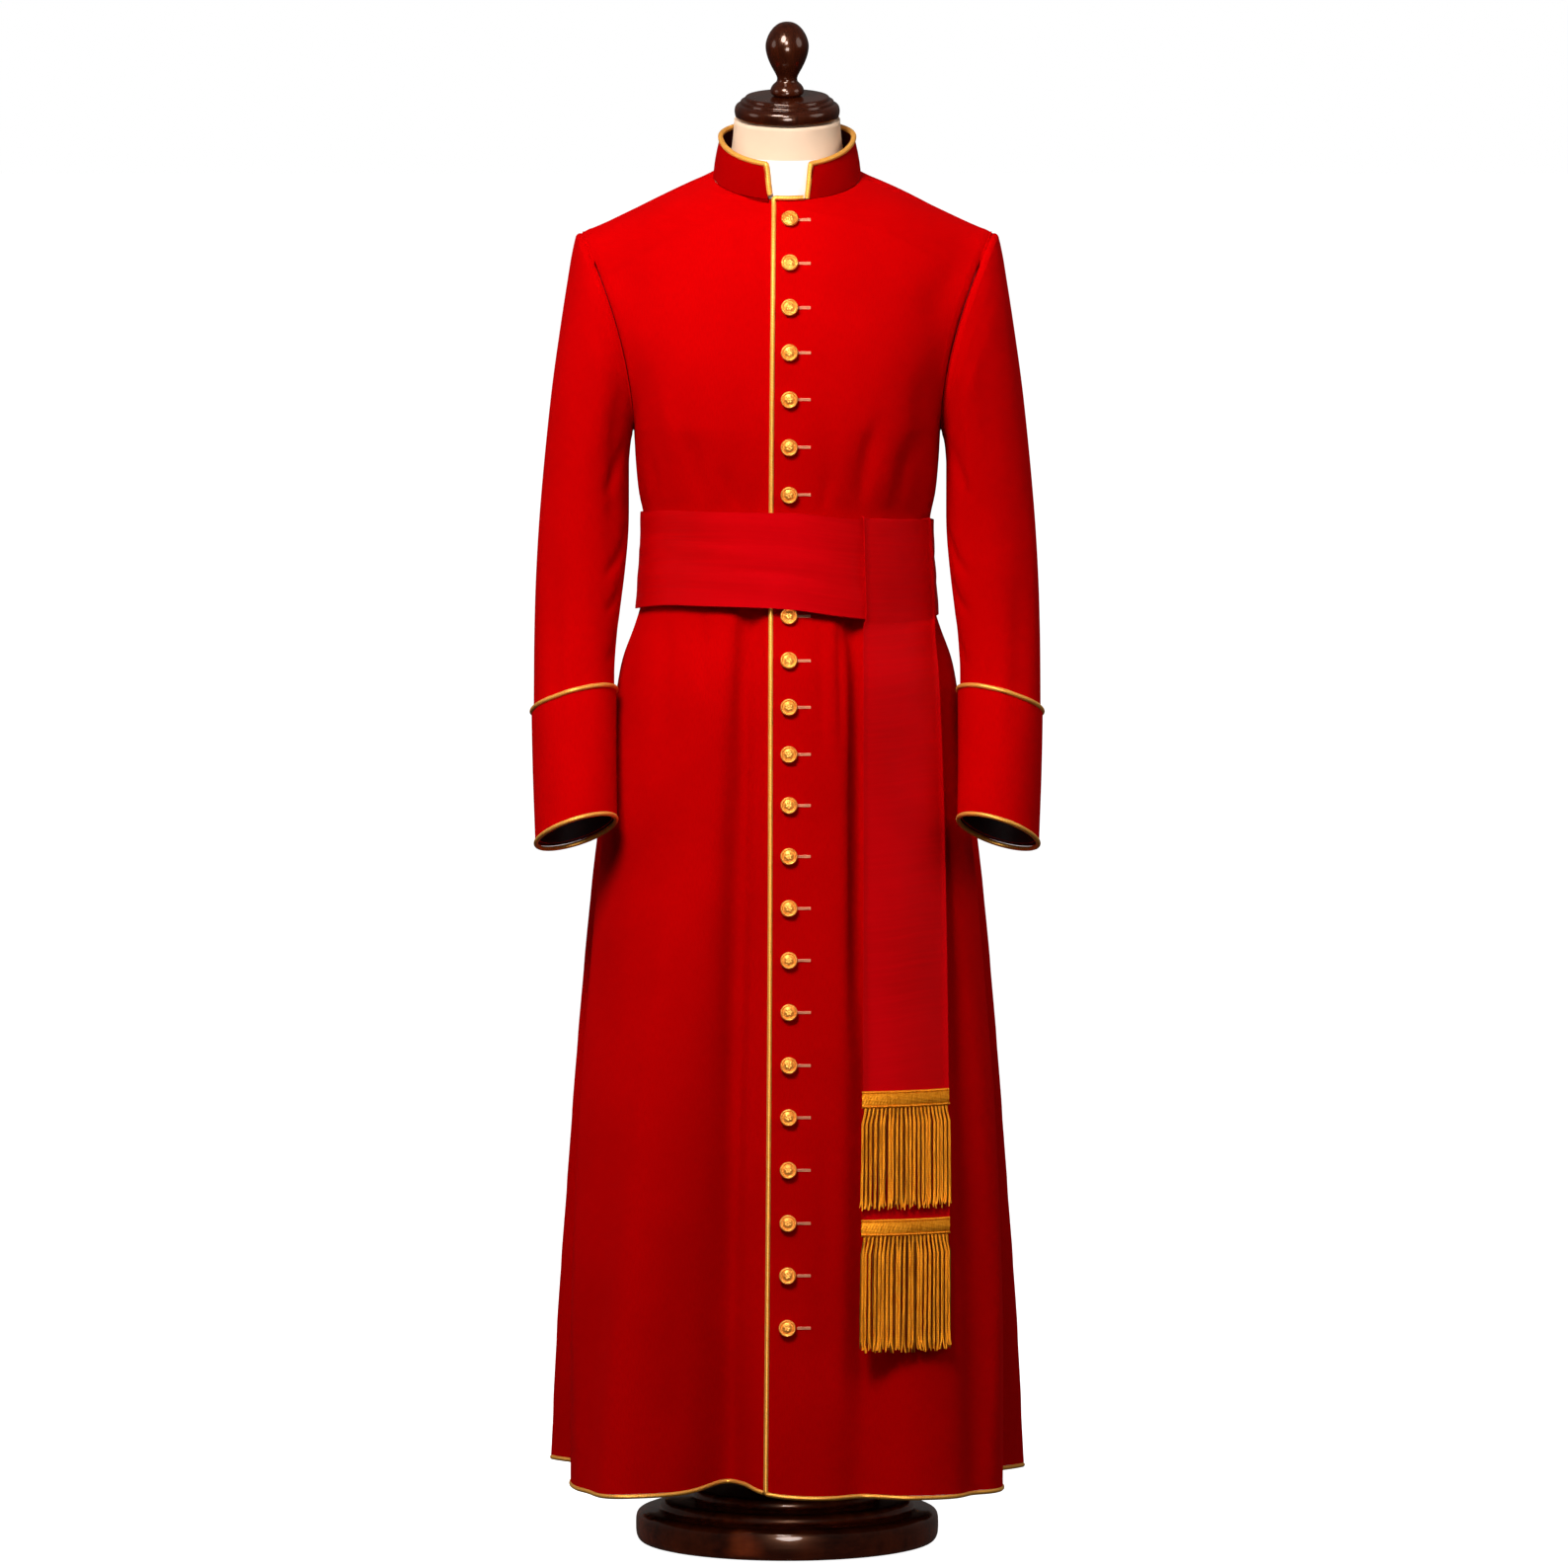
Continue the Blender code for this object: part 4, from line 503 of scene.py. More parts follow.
def swell(angle, height):
    """How far the section swells between its front, sides and back, as a share of the radius."""
    share = np.where(np.abs(angle) <= 90.0, table(SQUARE, 1, height), table(SQUARE, 2, height))
    return share * np.sin(np.radians(2.0 * angle)) ** 2


def fold_ratio(angle, height):
    """How far the skirt's folds and side pleats move the cloth in or out, as a share of the radius."""
    ratio = np.ones_like(angle)
    for at_waist, at_hem, shallow, deep, narrow, wide, top in FOLDS:
        down = np.clip((top - height) / (top - BODY[0][0]), 0.0, 1.0)
        centre = at_waist + (at_hem - at_waist) * down
        half_width = narrow + (wide - narrow) * down
        depth = (shallow + (deep - shallow) * down) * ease((top - height) / FOLD_FADE)
        ratio = ratio + depth * np.exp(-((angle - centre) / half_width) ** 2)
    down = np.clip((PLEAT_TOP - height) / (PLEAT_TOP - BODY[0][0]), 0.0, 1.0)
    beside = np.abs(angle) - 90.0
    front = PLEAT_FRONT[0] + PLEAT_FRONT[1] * down
    back = PLEAT_BACK[0] + PLEAT_BACK[1] * down
    reach = np.clip(np.abs(beside) / np.where(beside < 0.0, front, back), 0.0, 1.0)
    return ratio + swell(angle, height) - PLEAT_DEPTH * down**0.85 * (1.0 - reach) ** PLEAT_SHAPE


def ring(angle, height):
    """Point on the body below the chest; angle 0 is the centre front and +90 the wearer's left."""
    angle = np.asarray(angle, float)
    height = np.asarray(height, float) * np.ones_like(angle)
    ratio = fold_ratio(angle, height)
    turn = np.radians(angle)
    width = table(BODY, 1, height) * ratio
    depth = np.where(np.abs(angle) <= 90.0, table(BODY, 2, height), table(BODY, 3, height))
    return np.stack([width * np.sin(turn), -depth * ratio * np.cos(turn), height], -1)


def neckline(angle, back):
    """Point on the neck seam; angle 0 is the centre (front or back) and 90 the side."""
    height, depth = (BACK_YOKE if back else FRONT_YOKE)[-1][:2]
    turn = math.radians(angle)
    facing = 1.0 if back else -1.0
    return np.array([NECK_HALF_WIDTH * math.sin(turn), facing * depth * math.cos(turn),
                     NECK_SIDE_HEIGHT + (height - NECK_SIDE_HEIGHT) * math.cos(turn)])


def sleeve_ring(along, turns, out=0.0):
    """Ring of the wearer's left sleeve; turn 0 is the outer point, 90 the front, 180 the inner point."""
    outer_x, outer_z, inner_x, inner_z, y, depth, bow, rise = read_row(SLEEVE, along)
    reach = math.hypot(outer_x - inner_x, outer_z - inner_z) / 2.0
    stretch = (reach + out) / reach
    cos, sin = np.cos(np.radians(turns)), np.sin(np.radians(turns))
    x = (outer_x + inner_x) / 2.0 + (outer_x - inner_x) / 2.0 * stretch * cos - bow * sin**2
    z = (outer_z + inner_z) / 2.0 + (outer_z - inner_z) / 2.0 * stretch * cos + rise * sin
    return np.stack([x, y - (depth + out) * sin, z], -1)


def yoke_row(row, shares, back):
    """One row of the yoke; share 0 is the centre or neckline, share 1 the armhole."""
    height, depth, neck, turn, arc, square = row
    facing = 1.0 if back else -1.0
    start = neckline(neck, back) if neck > 0.0 else np.array([0.0, facing * depth, height])
    end = sleeve_ring(0.0, np.array([-turn if back else turn]))[0]
    arc = math.radians(arc)
    across = np.sin(shares * arc) / math.sin(arc)
    behind = (1.0 - np.cos(shares * arc)) / (1.0 - math.cos(arc))
    swell = 1.0 + square * np.sin(np.radians(180.0 * shares)) ** 2
    behind = 1.0 - (1.0 - behind) * swell
    points = np.empty((len(shares), 3))
    points[:, 0] = start[0] + (end[0] - start[0]) * across * swell
    points[:, 1] = start[1] + (end[1] - start[1]) * behind
    points[:, 2] = start[2] + (end[2] - start[2]) * np.abs(across) ** (1.8 - 0.8 * neck / 90.0)
    return points


# === mesh building ================================================================================
def run_lengths(points):
    """Distance of each point of a line from its start."""
    return np.concatenate([[0.0], np.cumsum(np.linalg.norm(np.diff(points, axis=0), axis=1))])


def read_line(points, lengths, where):
    """Points of a line at the given distances from its start."""
    return np.stack([np.interp(where, lengths, points[:, axis]) for axis in range(3)], -1)


def from_axis(points):
    """Unit directions away from the garment's upright axis, one for each point."""
    flat = points * LEVEL
    return flat / np.linalg.norm(flat, axis=-1, keepdims=True)


def outward(grid, closed):
    """Unit normals of a grid of points, facing away from its middle."""
    wide = np.concatenate([grid[:, -1:], grid, grid[:, :1]], 1) if closed else grid
    across = np.gradient(wide, axis=1)
    across = across[:, 1:-1] if closed else across
    normal = np.cross(across, np.gradient(grid, axis=0))
    normal /= np.linalg.norm(normal, axis=2, keepdims=True) + 1e-12
    middle = grid.mean(axis=1, keepdims=True) if closed else np.zeros(3)
    away = (grid - middle) * LEVEL
    return normal * np.sign(np.sum(normal * away, axis=2).mean())


def grid_faces(rows, columns, closed):
    """Quads over a grid of point numbers."""
    i, j = np.meshgrid(np.arange(rows - 1), np.arange(columns if closed else columns - 1), indexing="ij")
    k = (j + 1) % columns
    quads = np.stack([i * columns + j, i * columns + k, (i + 1) * columns + k, (i + 1) * columns + j], -1)
    return quads.reshape(-1, 4)


def thread_lengths(grid, closed):
    """Distances along the rows and columns of a grid, so that a weave follows the cloth's threads."""
    wide = np.concatenate([grid, grid[:, :1]], 1) if closed else grid
    across = np.linalg.norm(np.diff(wide, axis=1), axis=2)
    across = np.concatenate([np.zeros((len(grid), 1)), np.cumsum(across, axis=1)], 1)
    along = np.linalg.norm(np.diff(grid, axis=0), axis=2)
    along = np.concatenate([np.zeros((1, grid.shape[1])), np.cumsum(along, axis=0)], 0)
    if closed:
        along = np.concatenate([along, along[:, :1]], 1)
    return across, along


def link(name, data, look=None):
    made = bpy.data.objects.new(name, data)
    if look is not None:
        data.materials.append(look)
    bpy.context.scene.collection.objects.link(made)
    return made


def mesh_piece(name, verts, faces, lengths, look, sharp=60.0):
    """A piece from vertices and faces: smooth with sharp cut edges, thread lengths as its UV map."""
    data = bpy.data.meshes.new(name)
    data.from_pydata(np.asarray(verts).tolist(), [], faces)
    data.polygons.foreach_set("use_smooth", np.ones(len(faces), bool))
    layer = data.uv_layers.new(name="threads")
    layer.data.foreach_set("uv", np.asarray(lengths, np.float32).ravel())
    data.set_sharp_from_angle(angle=math.radians(sharp))
    data.update()
    return link(name, data, look)


def shell(name, grid, look, wall, closed=False, inside_shade=None):
    """Thin cloth: a grid of points on the outer face, an inner face one wall inside, and its edges."""
    rows, columns = grid.shape[:2]
    count = rows * columns
    normals = outward(grid, closed)
    verts = np.concatenate([grid.reshape(-1, 3), (grid - normals * wall).reshape(-1, 3)])
    quads = grid_faces(rows, columns, closed)
    across, along = thread_lengths(grid, closed)
    wide = across.shape[1]
    places = np.stack([across, along], -1).reshape(-1, 2)
    corners = grid_faces(rows, wide, False)
    a, b, c = (grid.reshape(-1, 3)[quads[:, n]] for n in (0, 1, 2))
    facing = np.sum(np.cross(b - a, c - a) * normals.reshape(-1, 3)[quads[:, 0]], axis=1).mean() > 0.0
    order = slice(None) if facing else slice(None, None, -1)
    faces = [quads[:, order], quads[:, ::-1][:, order] + count]
    threads = [places[corners[:, order]], places[corners[:, ::-1][:, order]]]
    rims = [np.arange(columns), np.arange(columns) + (rows - 1) * columns]
    if closed:
        rims = [np.append(rim, rim[0]) for rim in rims]
    else:
        rims += [np.arange(rows) * columns, np.arange(rows) * columns + columns - 1]
    for number, rim in enumerate(rims):
        edge = np.stack([rim[:-1], rim[1:], rim[1:] + count, rim[:-1] + count], -1)
        flip = (number in (0, 3)) == facing
        edge = edge[:, ::-1] if flip else edge
        faces.append(edge)
        threads.append(np.zeros((len(edge), 4, 2)))
    faces = np.concatenate(faces)
    made = mesh_piece(name, verts, faces.tolist(), np.concatenate(threads), look)
    # the inner faces take the second material, a painted shade for the inside of the cloth
    if inside_shade is not None:
        made.data.materials.append(inside_shade)
        inside = np.zeros(len(faces), int)
        inside[len(quads):2 * len(quads)] = 1
        made.data.polygons.foreach_set("material_index", inside)
    return made


def mirrored(grid):
    """The same grid on the wearer's other side."""
    return np.asarray(grid, float) * np.array([-1.0, 1.0, 1.0])


def frames_along(points, closed=False):
    """Two side directions at each point of a line, turned as little as possible."""
    points = np.asarray(points, float)
    ahead = np.roll(points, -1, 0) - np.roll(points, 1, 0) if closed else np.gradient(points, axis=0)
    ahead /= np.linalg.norm(ahead, axis=1)[:, None] + 1e-12
    side = np.cross(ahead[0], UP if abs(ahead[0][2]) < 0.9 else np.array([0.0, 1.0, 0.0]))
    sides = []
    for step in ahead:
        side = side - step * np.dot(side, step)
        side = side / np.linalg.norm(side)
        sides.append(side)
    sides = np.array(sides)
    return sides, np.cross(ahead, sides)


def tube_parts(points, radius, sides=10, closed=False, start=0):
    """Vertices, faces and UVs of a tube; radius may be one number or one for each point."""
    points = np.asarray(points, float)
    one, two = frames_along(points, closed)
    turn = np.linspace(0.0, 2.0 * math.pi, sides, endpoint=False)
    radius = np.broadcast_to(np.asarray(radius, float), len(points))[:, None, None]
    rings = points[:, None] + radius * (np.cos(turn)[None, :, None] * one[:, None]
                                        + np.sin(turn)[None, :, None] * two[:, None])
    lengths = run_lengths(points)
    quads = grid_faces(len(points), sides, True)
    if closed:
        last, first = (len(points) - 1) * sides, 0
        j = np.arange(sides)
        k = (j + 1) % sides
        quads = np.concatenate([quads, np.stack([last + j, last + k, first + k, first + j], -1)])
    i, j = quads[:, 0] // sides, quads[:, 0] % sides
    low, high = lengths[i], lengths[np.minimum(i + 1, len(points) - 1)]
    around = np.stack([j, j + 1, j + 1, j], -1) / sides
    uv = np.stack([around, np.stack([low, low, high, high], -1)], -1)
    faces = (quads[:, ::-1] + start).tolist()
    uv = uv[:, ::-1].reshape(-1, 2).tolist()
    if not closed:
        faces.append([start + n for n in range(sides)])
        faces.append([start + (len(points) - 1) * sides + n for n in reversed(range(sides))])
        uv += [[0.0, 0.0]] * (2 * sides)
    return rings.reshape(-1, 3), faces, uv


def tubes(name, lines, look, sides=10, closed=False):
    """One piece made of many tubes; each line is (points, radius)."""
    verts, faces, uvs, count = [], [], [], 0
    for points, radius in lines:
        more, quads, uv = tube_parts(points, radius, sides, closed, count)
        verts.append(more)
        faces += quads
        uvs += uv
        count += len(more)
    return mesh_piece(name, np.concatenate(verts), faces, uvs, look)


# === creases and seams ============================================================================
def crease_field(places, rows):
    """Depth of all creases at flat places (two columns), from rows as in the crease tables."""
    total = np.zeros(places.shape[:-1])
    for x0, z0, x1, z1, bow, width, depth in rows:
        start, run = np.array([x0, z0]), np.array([x1 - x0, z1 - z0])
        length = np.linalg.norm(run)
        ahead = run / length
        rel = places - start
        t = (rel @ ahead) / length
        across = rel @ np.array([-ahead[1], ahead[0]]) - bow * np.sin(math.pi * np.clip(t, 0.0, 1.0))
        taper = ease(t / CREASE_TAPER) * ease((1.0 - t) / CREASE_TAPER)
        total += depth * taper * np.exp(-(across / width) ** 2)
    return total


def drape_noise(places, seed, size, depth):
    """Low uneven swells from a few seeded waves."""
    random = np.random.RandomState(seed)
    total = np.zeros(places.shape[:-1])
    for _ in range(DRAPE_WAVES):
        heading = random.uniform(-0.35, 0.35)
        phase = random.uniform(0.0, 2.0 * math.pi)
        step = size * random.uniform(0.6, 1.7)
        along = places[..., 0] * math.cos(heading) + places[..., 1] * math.sin(heading) * 0.5
        total += np.sin(along * 2.0 * math.pi / step + phase)
    return total * depth / DRAPE_WAVES


def seam_dip(grid, sides, closed=False):
    """Narrow dip of the cloth beside the seams along the named sides of a grid."""
    rows, columns = grid.shape[:2]
    across, along = thread_lengths(grid, closed)
    across, along = across[:, :columns], along[:, :columns]
    distance = {"first": across, "last": across[:, -1:] - across,
                "bottom": along, "top": along[-1:] - along}
    total = np.zeros((rows, columns))
    for side in sides:
        total += SEAM_DEPTH * np.exp(-(distance[side] / SEAM_WIDTH) ** 2)
        total -= SEAM_RIDGE * np.exp(-((distance[side] - SEAM_ALLOWANCE) / SEAM_WIDTH) ** 2)
    return total


def pressed(grid, depth, closed=False):
    """A grid moved in along its own normals by a depth at each point."""
    return grid - outward(grid, closed) * depth[..., None]


# === body panels ==================================================================================
def opening(height):
    """x of the left front's opening edge."""
    return float(table(OPENING, 1, height))


def hem_blend(angles, level):
    """Height of a panel row: the hem's own height at the bottom, level rows above it."""
    share = (level - BODY[0][0]) / (CHEST - BODY[0][0])
    hem = table(HEM, 1, angles)
    return level + (hem - BODY[0][0]) * (1.0 - share) ** HEM_REACH


def stop_short(points):
    """Pull a row's last point back so neighbouring panels keep their gap."""
    step = points[-1] - points[-2]
    points[-1] = points[-1] - step / np.linalg.norm(step) * EDGE_BACK
    return points


def skirt_heights():
    """Nominal heights of the panels' rows below the chest."""
    return np.linspace(BODY[0][0], CHEST, SKIRT_ROWS, endpoint=False)


def yoke_places(rows):
    """Places along a yoke table, counted in its rows."""
    return np.linspace(0.0, len(rows) - 1.0, YOKE_ROWS)


def front_base(left):
    """One front, smooth, in the wearer's-left frame; the right front is mirrored afterwards."""
    sign = 1.0 if left else -1.0
    shares = np.linspace(0.0, 1.0, FRONT_COLUMNS)
    rows = []
    for nominal in skirt_heights():
        width = float(table(BODY, 1, nominal))
        near = math.degrees(math.asin(sign * (opening(nominal) if left else LAP_REACH) / width))
        angles = np.interp(shares, (0.0, FRONT_SHARE, 1.0), (near, FRONT_CORNER, 90.0))
        points = ring(angles * sign, hem_blend(angles * sign, nominal))
        points[:, 0] *= sign
        rows.append(stop_short(points))
    for place in yoke_places(FRONT_YOKE):
        row = read_row(FRONT_YOKE, place)
        near = 0.0
        if place <= NECK_ROW:
            arc = math.radians(row[4])
            reach = sleeve_ring(0.0, np.array([row[3]]))[0][0]
            x = opening(row[0]) if left else -LAP_REACH
            near = 90.0 * math.asin(x * math.sin(arc) / reach) / arc
        angles = np.interp(shares, (0.0, FRONT_SHARE, 1.0), (near, FRONT_CORNER, 90.0))
        points = yoke_row(row, angles / 90.0, False)
        points[:, 1] -= SHOULDER_BACK * ease(place - len(FRONT_YOKE) + 2.0)
        rows.append(stop_short(points))
    return eased_yoke(np.array(rows), SKIRT_ROWS + 2)


def front_panel(left):
    """One front with its seams, creases and drape."""
    grid = front_base(left)
    sign = 1.0 if left else -1.0
    places = grid[..., [0, 2]] * np.array([sign, 1.0])
    depth = crease_field(places, FRONT_CREASES) + drape_noise(places, 3, BODY_WAVE, DRAPE_DEPTH)
    beside = ease((np.abs(grid[..., 0]) - PLACKET) / PLACKET)
    depth = depth * (PLACKET_SHARE + (1.0 - PLACKET_SHARE) * beside)
    depth *= edge_fade(grid)
    depth += seam_dip(grid, ("last", "top"))
    grid = pressed(grid, depth)
    if not left:
        under = ease((LAP_EASE[0] - grid[:, :, 0]) / LAP_EASE[1])
        grid[:, :, 1] += table(LAP_DROP, 1, grid[:, :, 2]) * under
        grid = mirrored(grid)
    return grid


def eased_yoke(grid, first):
    """Take the bend out of the rows where they leave the centre line and start along the neck."""
    start = np.linalg.norm(grid - grid[:, :1], axis=2)
    end = np.linalg.norm(grid - grid[:, -1:], axis=2)
    weight = (ease(start / YOKE_EASE) * ease(end / YOKE_EASE))[first:-1, :, None] * 0.5
    for _ in range(YOKE_PASSES):
        average = (grid[first - 1:-2] + grid[first + 1:]) / 2.0
        grid[first:-1] += (average - grid[first:-1]) * weight
    return grid


def edge_fade(grid):
    """Creases die out at the armhole, side and neck seams, where neighbouring pieces meet."""
    across, along = thread_lengths(grid, False)
    side = ease((across[:, -1:] - across) / EDGE_FADE)
    top = ease((along[-1:] - along) / EDGE_FADE)
    return side * top


def back_panel(left):
    """Half of the back, built on the wearer's left and mirrored for the right."""
    sign = 1.0 if left else -1.0
    shares = np.linspace(0.0, 1.0, BACK_COLUMNS)
    across = np.interp(shares, (0.0, BACK_SHARE, 1.0), (0.0, BACK_CORNER, 90.0))
    rows = []
    for nominal in skirt_heights():
        angles = (180.0 - across) * sign
        points = ring(angles, hem_blend(angles, nominal))
        points[:, 0] *= sign
        rows.append(stop_short(points))
    for place in yoke_places(BACK_YOKE):
        points = yoke_row(read_row(BACK_YOKE, place), across / 90.0, True)
        points[:, 1] += SHOULDER_BACK * ease(place - len(BACK_YOKE) + 2.0)
        rows.append(stop_short(points))
    grid = eased_yoke(np.array(rows), SKIRT_ROWS + 2)
    neck_start = SKIRT_ROWS + int(YOKE_ROWS * NECK_ROW / (len(BACK_YOKE) - 1.0))
    grid[:neck_start, 0, 0] += EDGE_BACK
    places = grid[..., [0, 2]] * np.array([sign, 1.0])
    depth = crease_field(places, BACK_CREASES) + drape_noise(places, 8, BODY_WAVE, DRAPE_DEPTH)
    depth *= edge_fade(grid) * ease(grid[..., 0] / EDGE_FADE)
    depth += seam_dip(grid, ("first", "last", "top"))
    grid = pressed(grid, depth)
    return grid if left else mirrored(grid)


# === sleeves and cuffs ============================================================================
def sleeve_grid(side, start, end, rows, out):
    """Rings of a sleeve from one place along it to another, moved out, with its creases."""
    turns = np.linspace(0.0, 360.0, SLEEVE_COLUMNS, endpoint=False)
    grid = np.array([sleeve_ring(along, turns, out) for along in np.linspace(start, end, rows)])
    round_it = np.radians(turns)[None, :] * SLEEVE_GIRTH * np.ones((rows, 1))
    places = np.stack([round_it, grid[..., 2]], -1)
    round_of = math.radians(1.0) * SLEEVE_GIRTH
    creases = [(row[0] * round_of, row[1], row[2] * round_of) + row[3:] for row in SLEEVE_CREASES]
    depth = crease_field(places, creases)
    waves = drape_noise(places, 5 if side > 0 else 11, SLEEVE_WAVE, DRAPE_DEPTH)
    depth += waves * ease(turns / SEAM_TURN) * ease((360.0 - turns) / SEAM_TURN)
    return grid, depth


def sleeve(side):
    """One sleeve, from the armhole seam to its end inside the cuff."""
    grid, depth = sleeve_grid(side, 0.0, SLEEVE_END, SLEEVE_ROWS, 0.0)
    grid[0, :, 0] += SLEEVE_SHIFT
    down = thread_lengths(grid, True)[1][:, :SLEEVE_COLUMNS]
    depth *= ease(down / EDGE_FADE)
    depth += seam_dip(grid, ("bottom",), True)
    grid = pressed(grid, depth, True)
    return grid if side > 0 else mirrored(grid)


def cuff(side):
    """Turned-back cuff: a stiffer ring standing off the sleeve's end."""
    grid, depth = sleeve_grid(side, CUFF_ROWS[0], CUFF_ROWS[1], CUFF_RINGS, CUFF_STAND)
    grid = pressed(grid, depth * CUFF_STIFFNESS, True)
    return grid if side > 0 else mirrored(grid)


# === collar =======================================================================================
def collar_top(angle, out=0.0):
    """Top edge of the collar; angle 0 is the centre front and 180 the centre back."""
    turn = math.radians(angle)
    depth, height = COLLAR_FRONT if abs(angle) <= 90.0 else COLLAR_BACK
    slope = (height - COLLAR_SIDE_HEIGHT) * abs(math.cos(turn))
    return np.array([(COLLAR_HALF_WIDTH + out) * math.sin(turn), -(depth + out) * math.cos(turn),
                     COLLAR_SIDE_HEIGHT + slope])


def collar_foot(angle, out=0.0):
    """Bottom edge of the collar, standing on the neck seam."""
    back = abs(angle) > 90.0
    point = neckline(180.0 - abs(angle) if back else abs(angle), back)
    point[0] = math.copysign(point[0], angle)
    return point + from_axis(point) * out + UP * COLLAR_LIFT


def stand_rows(foot, top):
    """Rows from a foot line to a top line, with a slight roll outwards between them."""
    rolled = []
    for share in np.linspace(0.0, 1.0, COLLAR_ROWS):
        row = foot + (top - foot) * share
        rolled.append(row + from_axis(row) * COLLAR_BULGE * math.sin(math.pi * share))
    return np.array(rolled)


def collar():
    """Stand collar from one edge of its notch round the back to the other."""
    left, right = (math.degrees(math.asin(x / NECK_HALF_WIDTH)) for x in (NOTCH_LEFT, NOTCH_RIGHT))
    angles = np.linspace(left, 360.0 + right, COLLAR_COLUMNS)
    angles = np.where(angles > 180.0, angles - 360.0, angles)
    foot = np.array([collar_foot(angle) for angle in angles])
    top = np.array([collar_top(angle) for angle in angles])
    top[0, 0] = NOTCH_LEFT + NOTCH_SPLAY
    top[-1, 0] = NOTCH_RIGHT - NOTCH_SPLAY
    return stand_rows(foot, top)


def tucked(stand):
    """The collar with its seam allowance turned down inside the neck."""
    foot = stand[0]
    away = from_axis(foot)
    end = foot - away * (WALL + TUCK_IN) - UP * TUCK_DOWN
    return np.concatenate([[end, foot - away * TUCK_IN], stand])


def collar_insert():
    """White band held behind the collar, showing in the notch and just above the edge."""
    angles = np.linspace(-INSERT_HALF_ANGLE, INSERT_HALF_ANGLE, INSERT_COLUMNS)
    inside = -(WALL + INSERT_BACK)
    foot = np.array([collar_foot(angle, inside) for angle in angles])
    top = np.array([collar_top(angle, inside) for angle in angles])
    top[:, 2] += INSERT_RISE * np.cos(np.radians(angles * 90.0 / INSERT_FADE))
    foot[:, 2] += INSERT_LIFT
    return stand_rows(foot, top)


# === sash =========================================================================================
def band_point(angle, share):
    """Point on the sash band; share 0 is the bottom edge and 1 the top."""
    top, bottom = (float(table(BAND, column, angle)) for column in (1, 2))
    turn = math.radians(angle)
    depth = float(table(BAND_SECTION, 2 if abs(angle) <= 90.0 else 3, share))
    width = float(table(BAND_SECTION, 1, share))
    return np.array([width * math.sin(turn), -depth * math.cos(turn), bottom + (top - bottom) * share])


def band():
    """Sash band once round the waist, with soft folds, ripples and stitched edges."""
    angles = np.linspace(-180.0, 180.0, BAND_COLUMNS, endpoint=False)
    shares = np.linspace(0.0, 1.0, BAND_ROWS)
    grid = np.array([[band_point(angle, share) for angle in angles] for share in shares])
    places = np.stack(np.meshgrid(angles / BAND_STRETCH, shares), -1)
    creases = [(row[0] / BAND_STRETCH, row[1], row[2] / BAND_STRETCH) + row[3:] for row in BAND_CREASES]
    depth = crease_field(places, creases)
    drift = SASH_RIPPLE_DRIFT * np.sin(places[..., 0] * SASH_RIPPLE_TURN)
    depth += SASH_RIPPLE * np.sin(shares[:, None] * 2.0 * math.pi * SASH_RIPPLES + drift)
    height = BAND[0][1] - BAND[0][2]
    for line in (SASH_HEM / height, 1.0 - SASH_HEM / height):
        depth += SASH_HEM_DEPTH * np.exp(-((shares[:, None] - line) * height / SASH_HEM_WIDTH) ** 2)
    return pressed(grid, depth * np.ones_like(places[..., 0]), True)


def tail_point(share, height, out, spread=0.0):
    """Point on a sash tail; share 0 is the edge nearer the buttons."""
    inner = float(table(TAIL, 1, height)) - spread
    outer = float(table(TAIL, 2, height)) + spread
    width = float(table(BODY, 1, height)) + out
    depth = float(table(BODY, 2, height)) + out
    first, last = (turn_at(x, width, height) for x in (inner, outer))
    turn = first + (last - first) * share
    ratio = 1.0 + float(swell(math.degrees(turn), height))
    return np.array([width * ratio * math.sin(turn), -depth * ratio * math.cos(turn), height])


def turn_at(x, width, height):
    """Turn (radians) at which the swollen section of that half width reaches x."""
    turn = 0.0
    for _ in range(TURN_STEPS):
        ratio = 1.0 + float(swell(math.degrees(turn), height))
        turn = math.asin(min(x / (width * ratio), WRAP_LIMIT))
    return turn


def over_band(share, drop, out):
    """Point of the upper tail where it lies over the band, the given drop below the band's top."""
    flat = tail_point(share, WAIST, 0.0)
    angle = math.degrees(math.asin(min(flat[0] / BAND_SECTION[-1][1], WRAP_LIMIT)))
    top, bottom = band_point(angle, 1.0), band_point(angle, 0.0)
    point = top + (bottom - top) * (drop / (top[2] - bottom[2]))
    away = np.array([math.sin(math.radians(angle)), -math.cos(math.radians(angle)), 0.0])
    return point + away * out


def smooth_columns(grid, rows):
    """A coarse grid read finely down its columns, along a smooth curve through its rows."""
    keys = np.arange(len(grid), dtype=float)
    counted = [(key,) + tuple(points.reshape(-1)) for key, points in zip(keys, grid)]
    places = np.linspace(0.0, len(grid) - 1.0, rows)
    columns = [table(counted, number, places) for number in range(1, grid[0].size + 1)]
    return np.stack(columns, -1).reshape(rows, *grid.shape[1:])


def tail_rows(tail, start, count):
    """Rows of a tail hanging from a height down to its end."""
    end, stand = tail[:2]
    shares = np.linspace(0.0, 1.0, TAIL_COLUMNS)
    heights = np.linspace(start, end, count)
    return [[tail_point(share, height, stand) for share in shares] for height in heights]


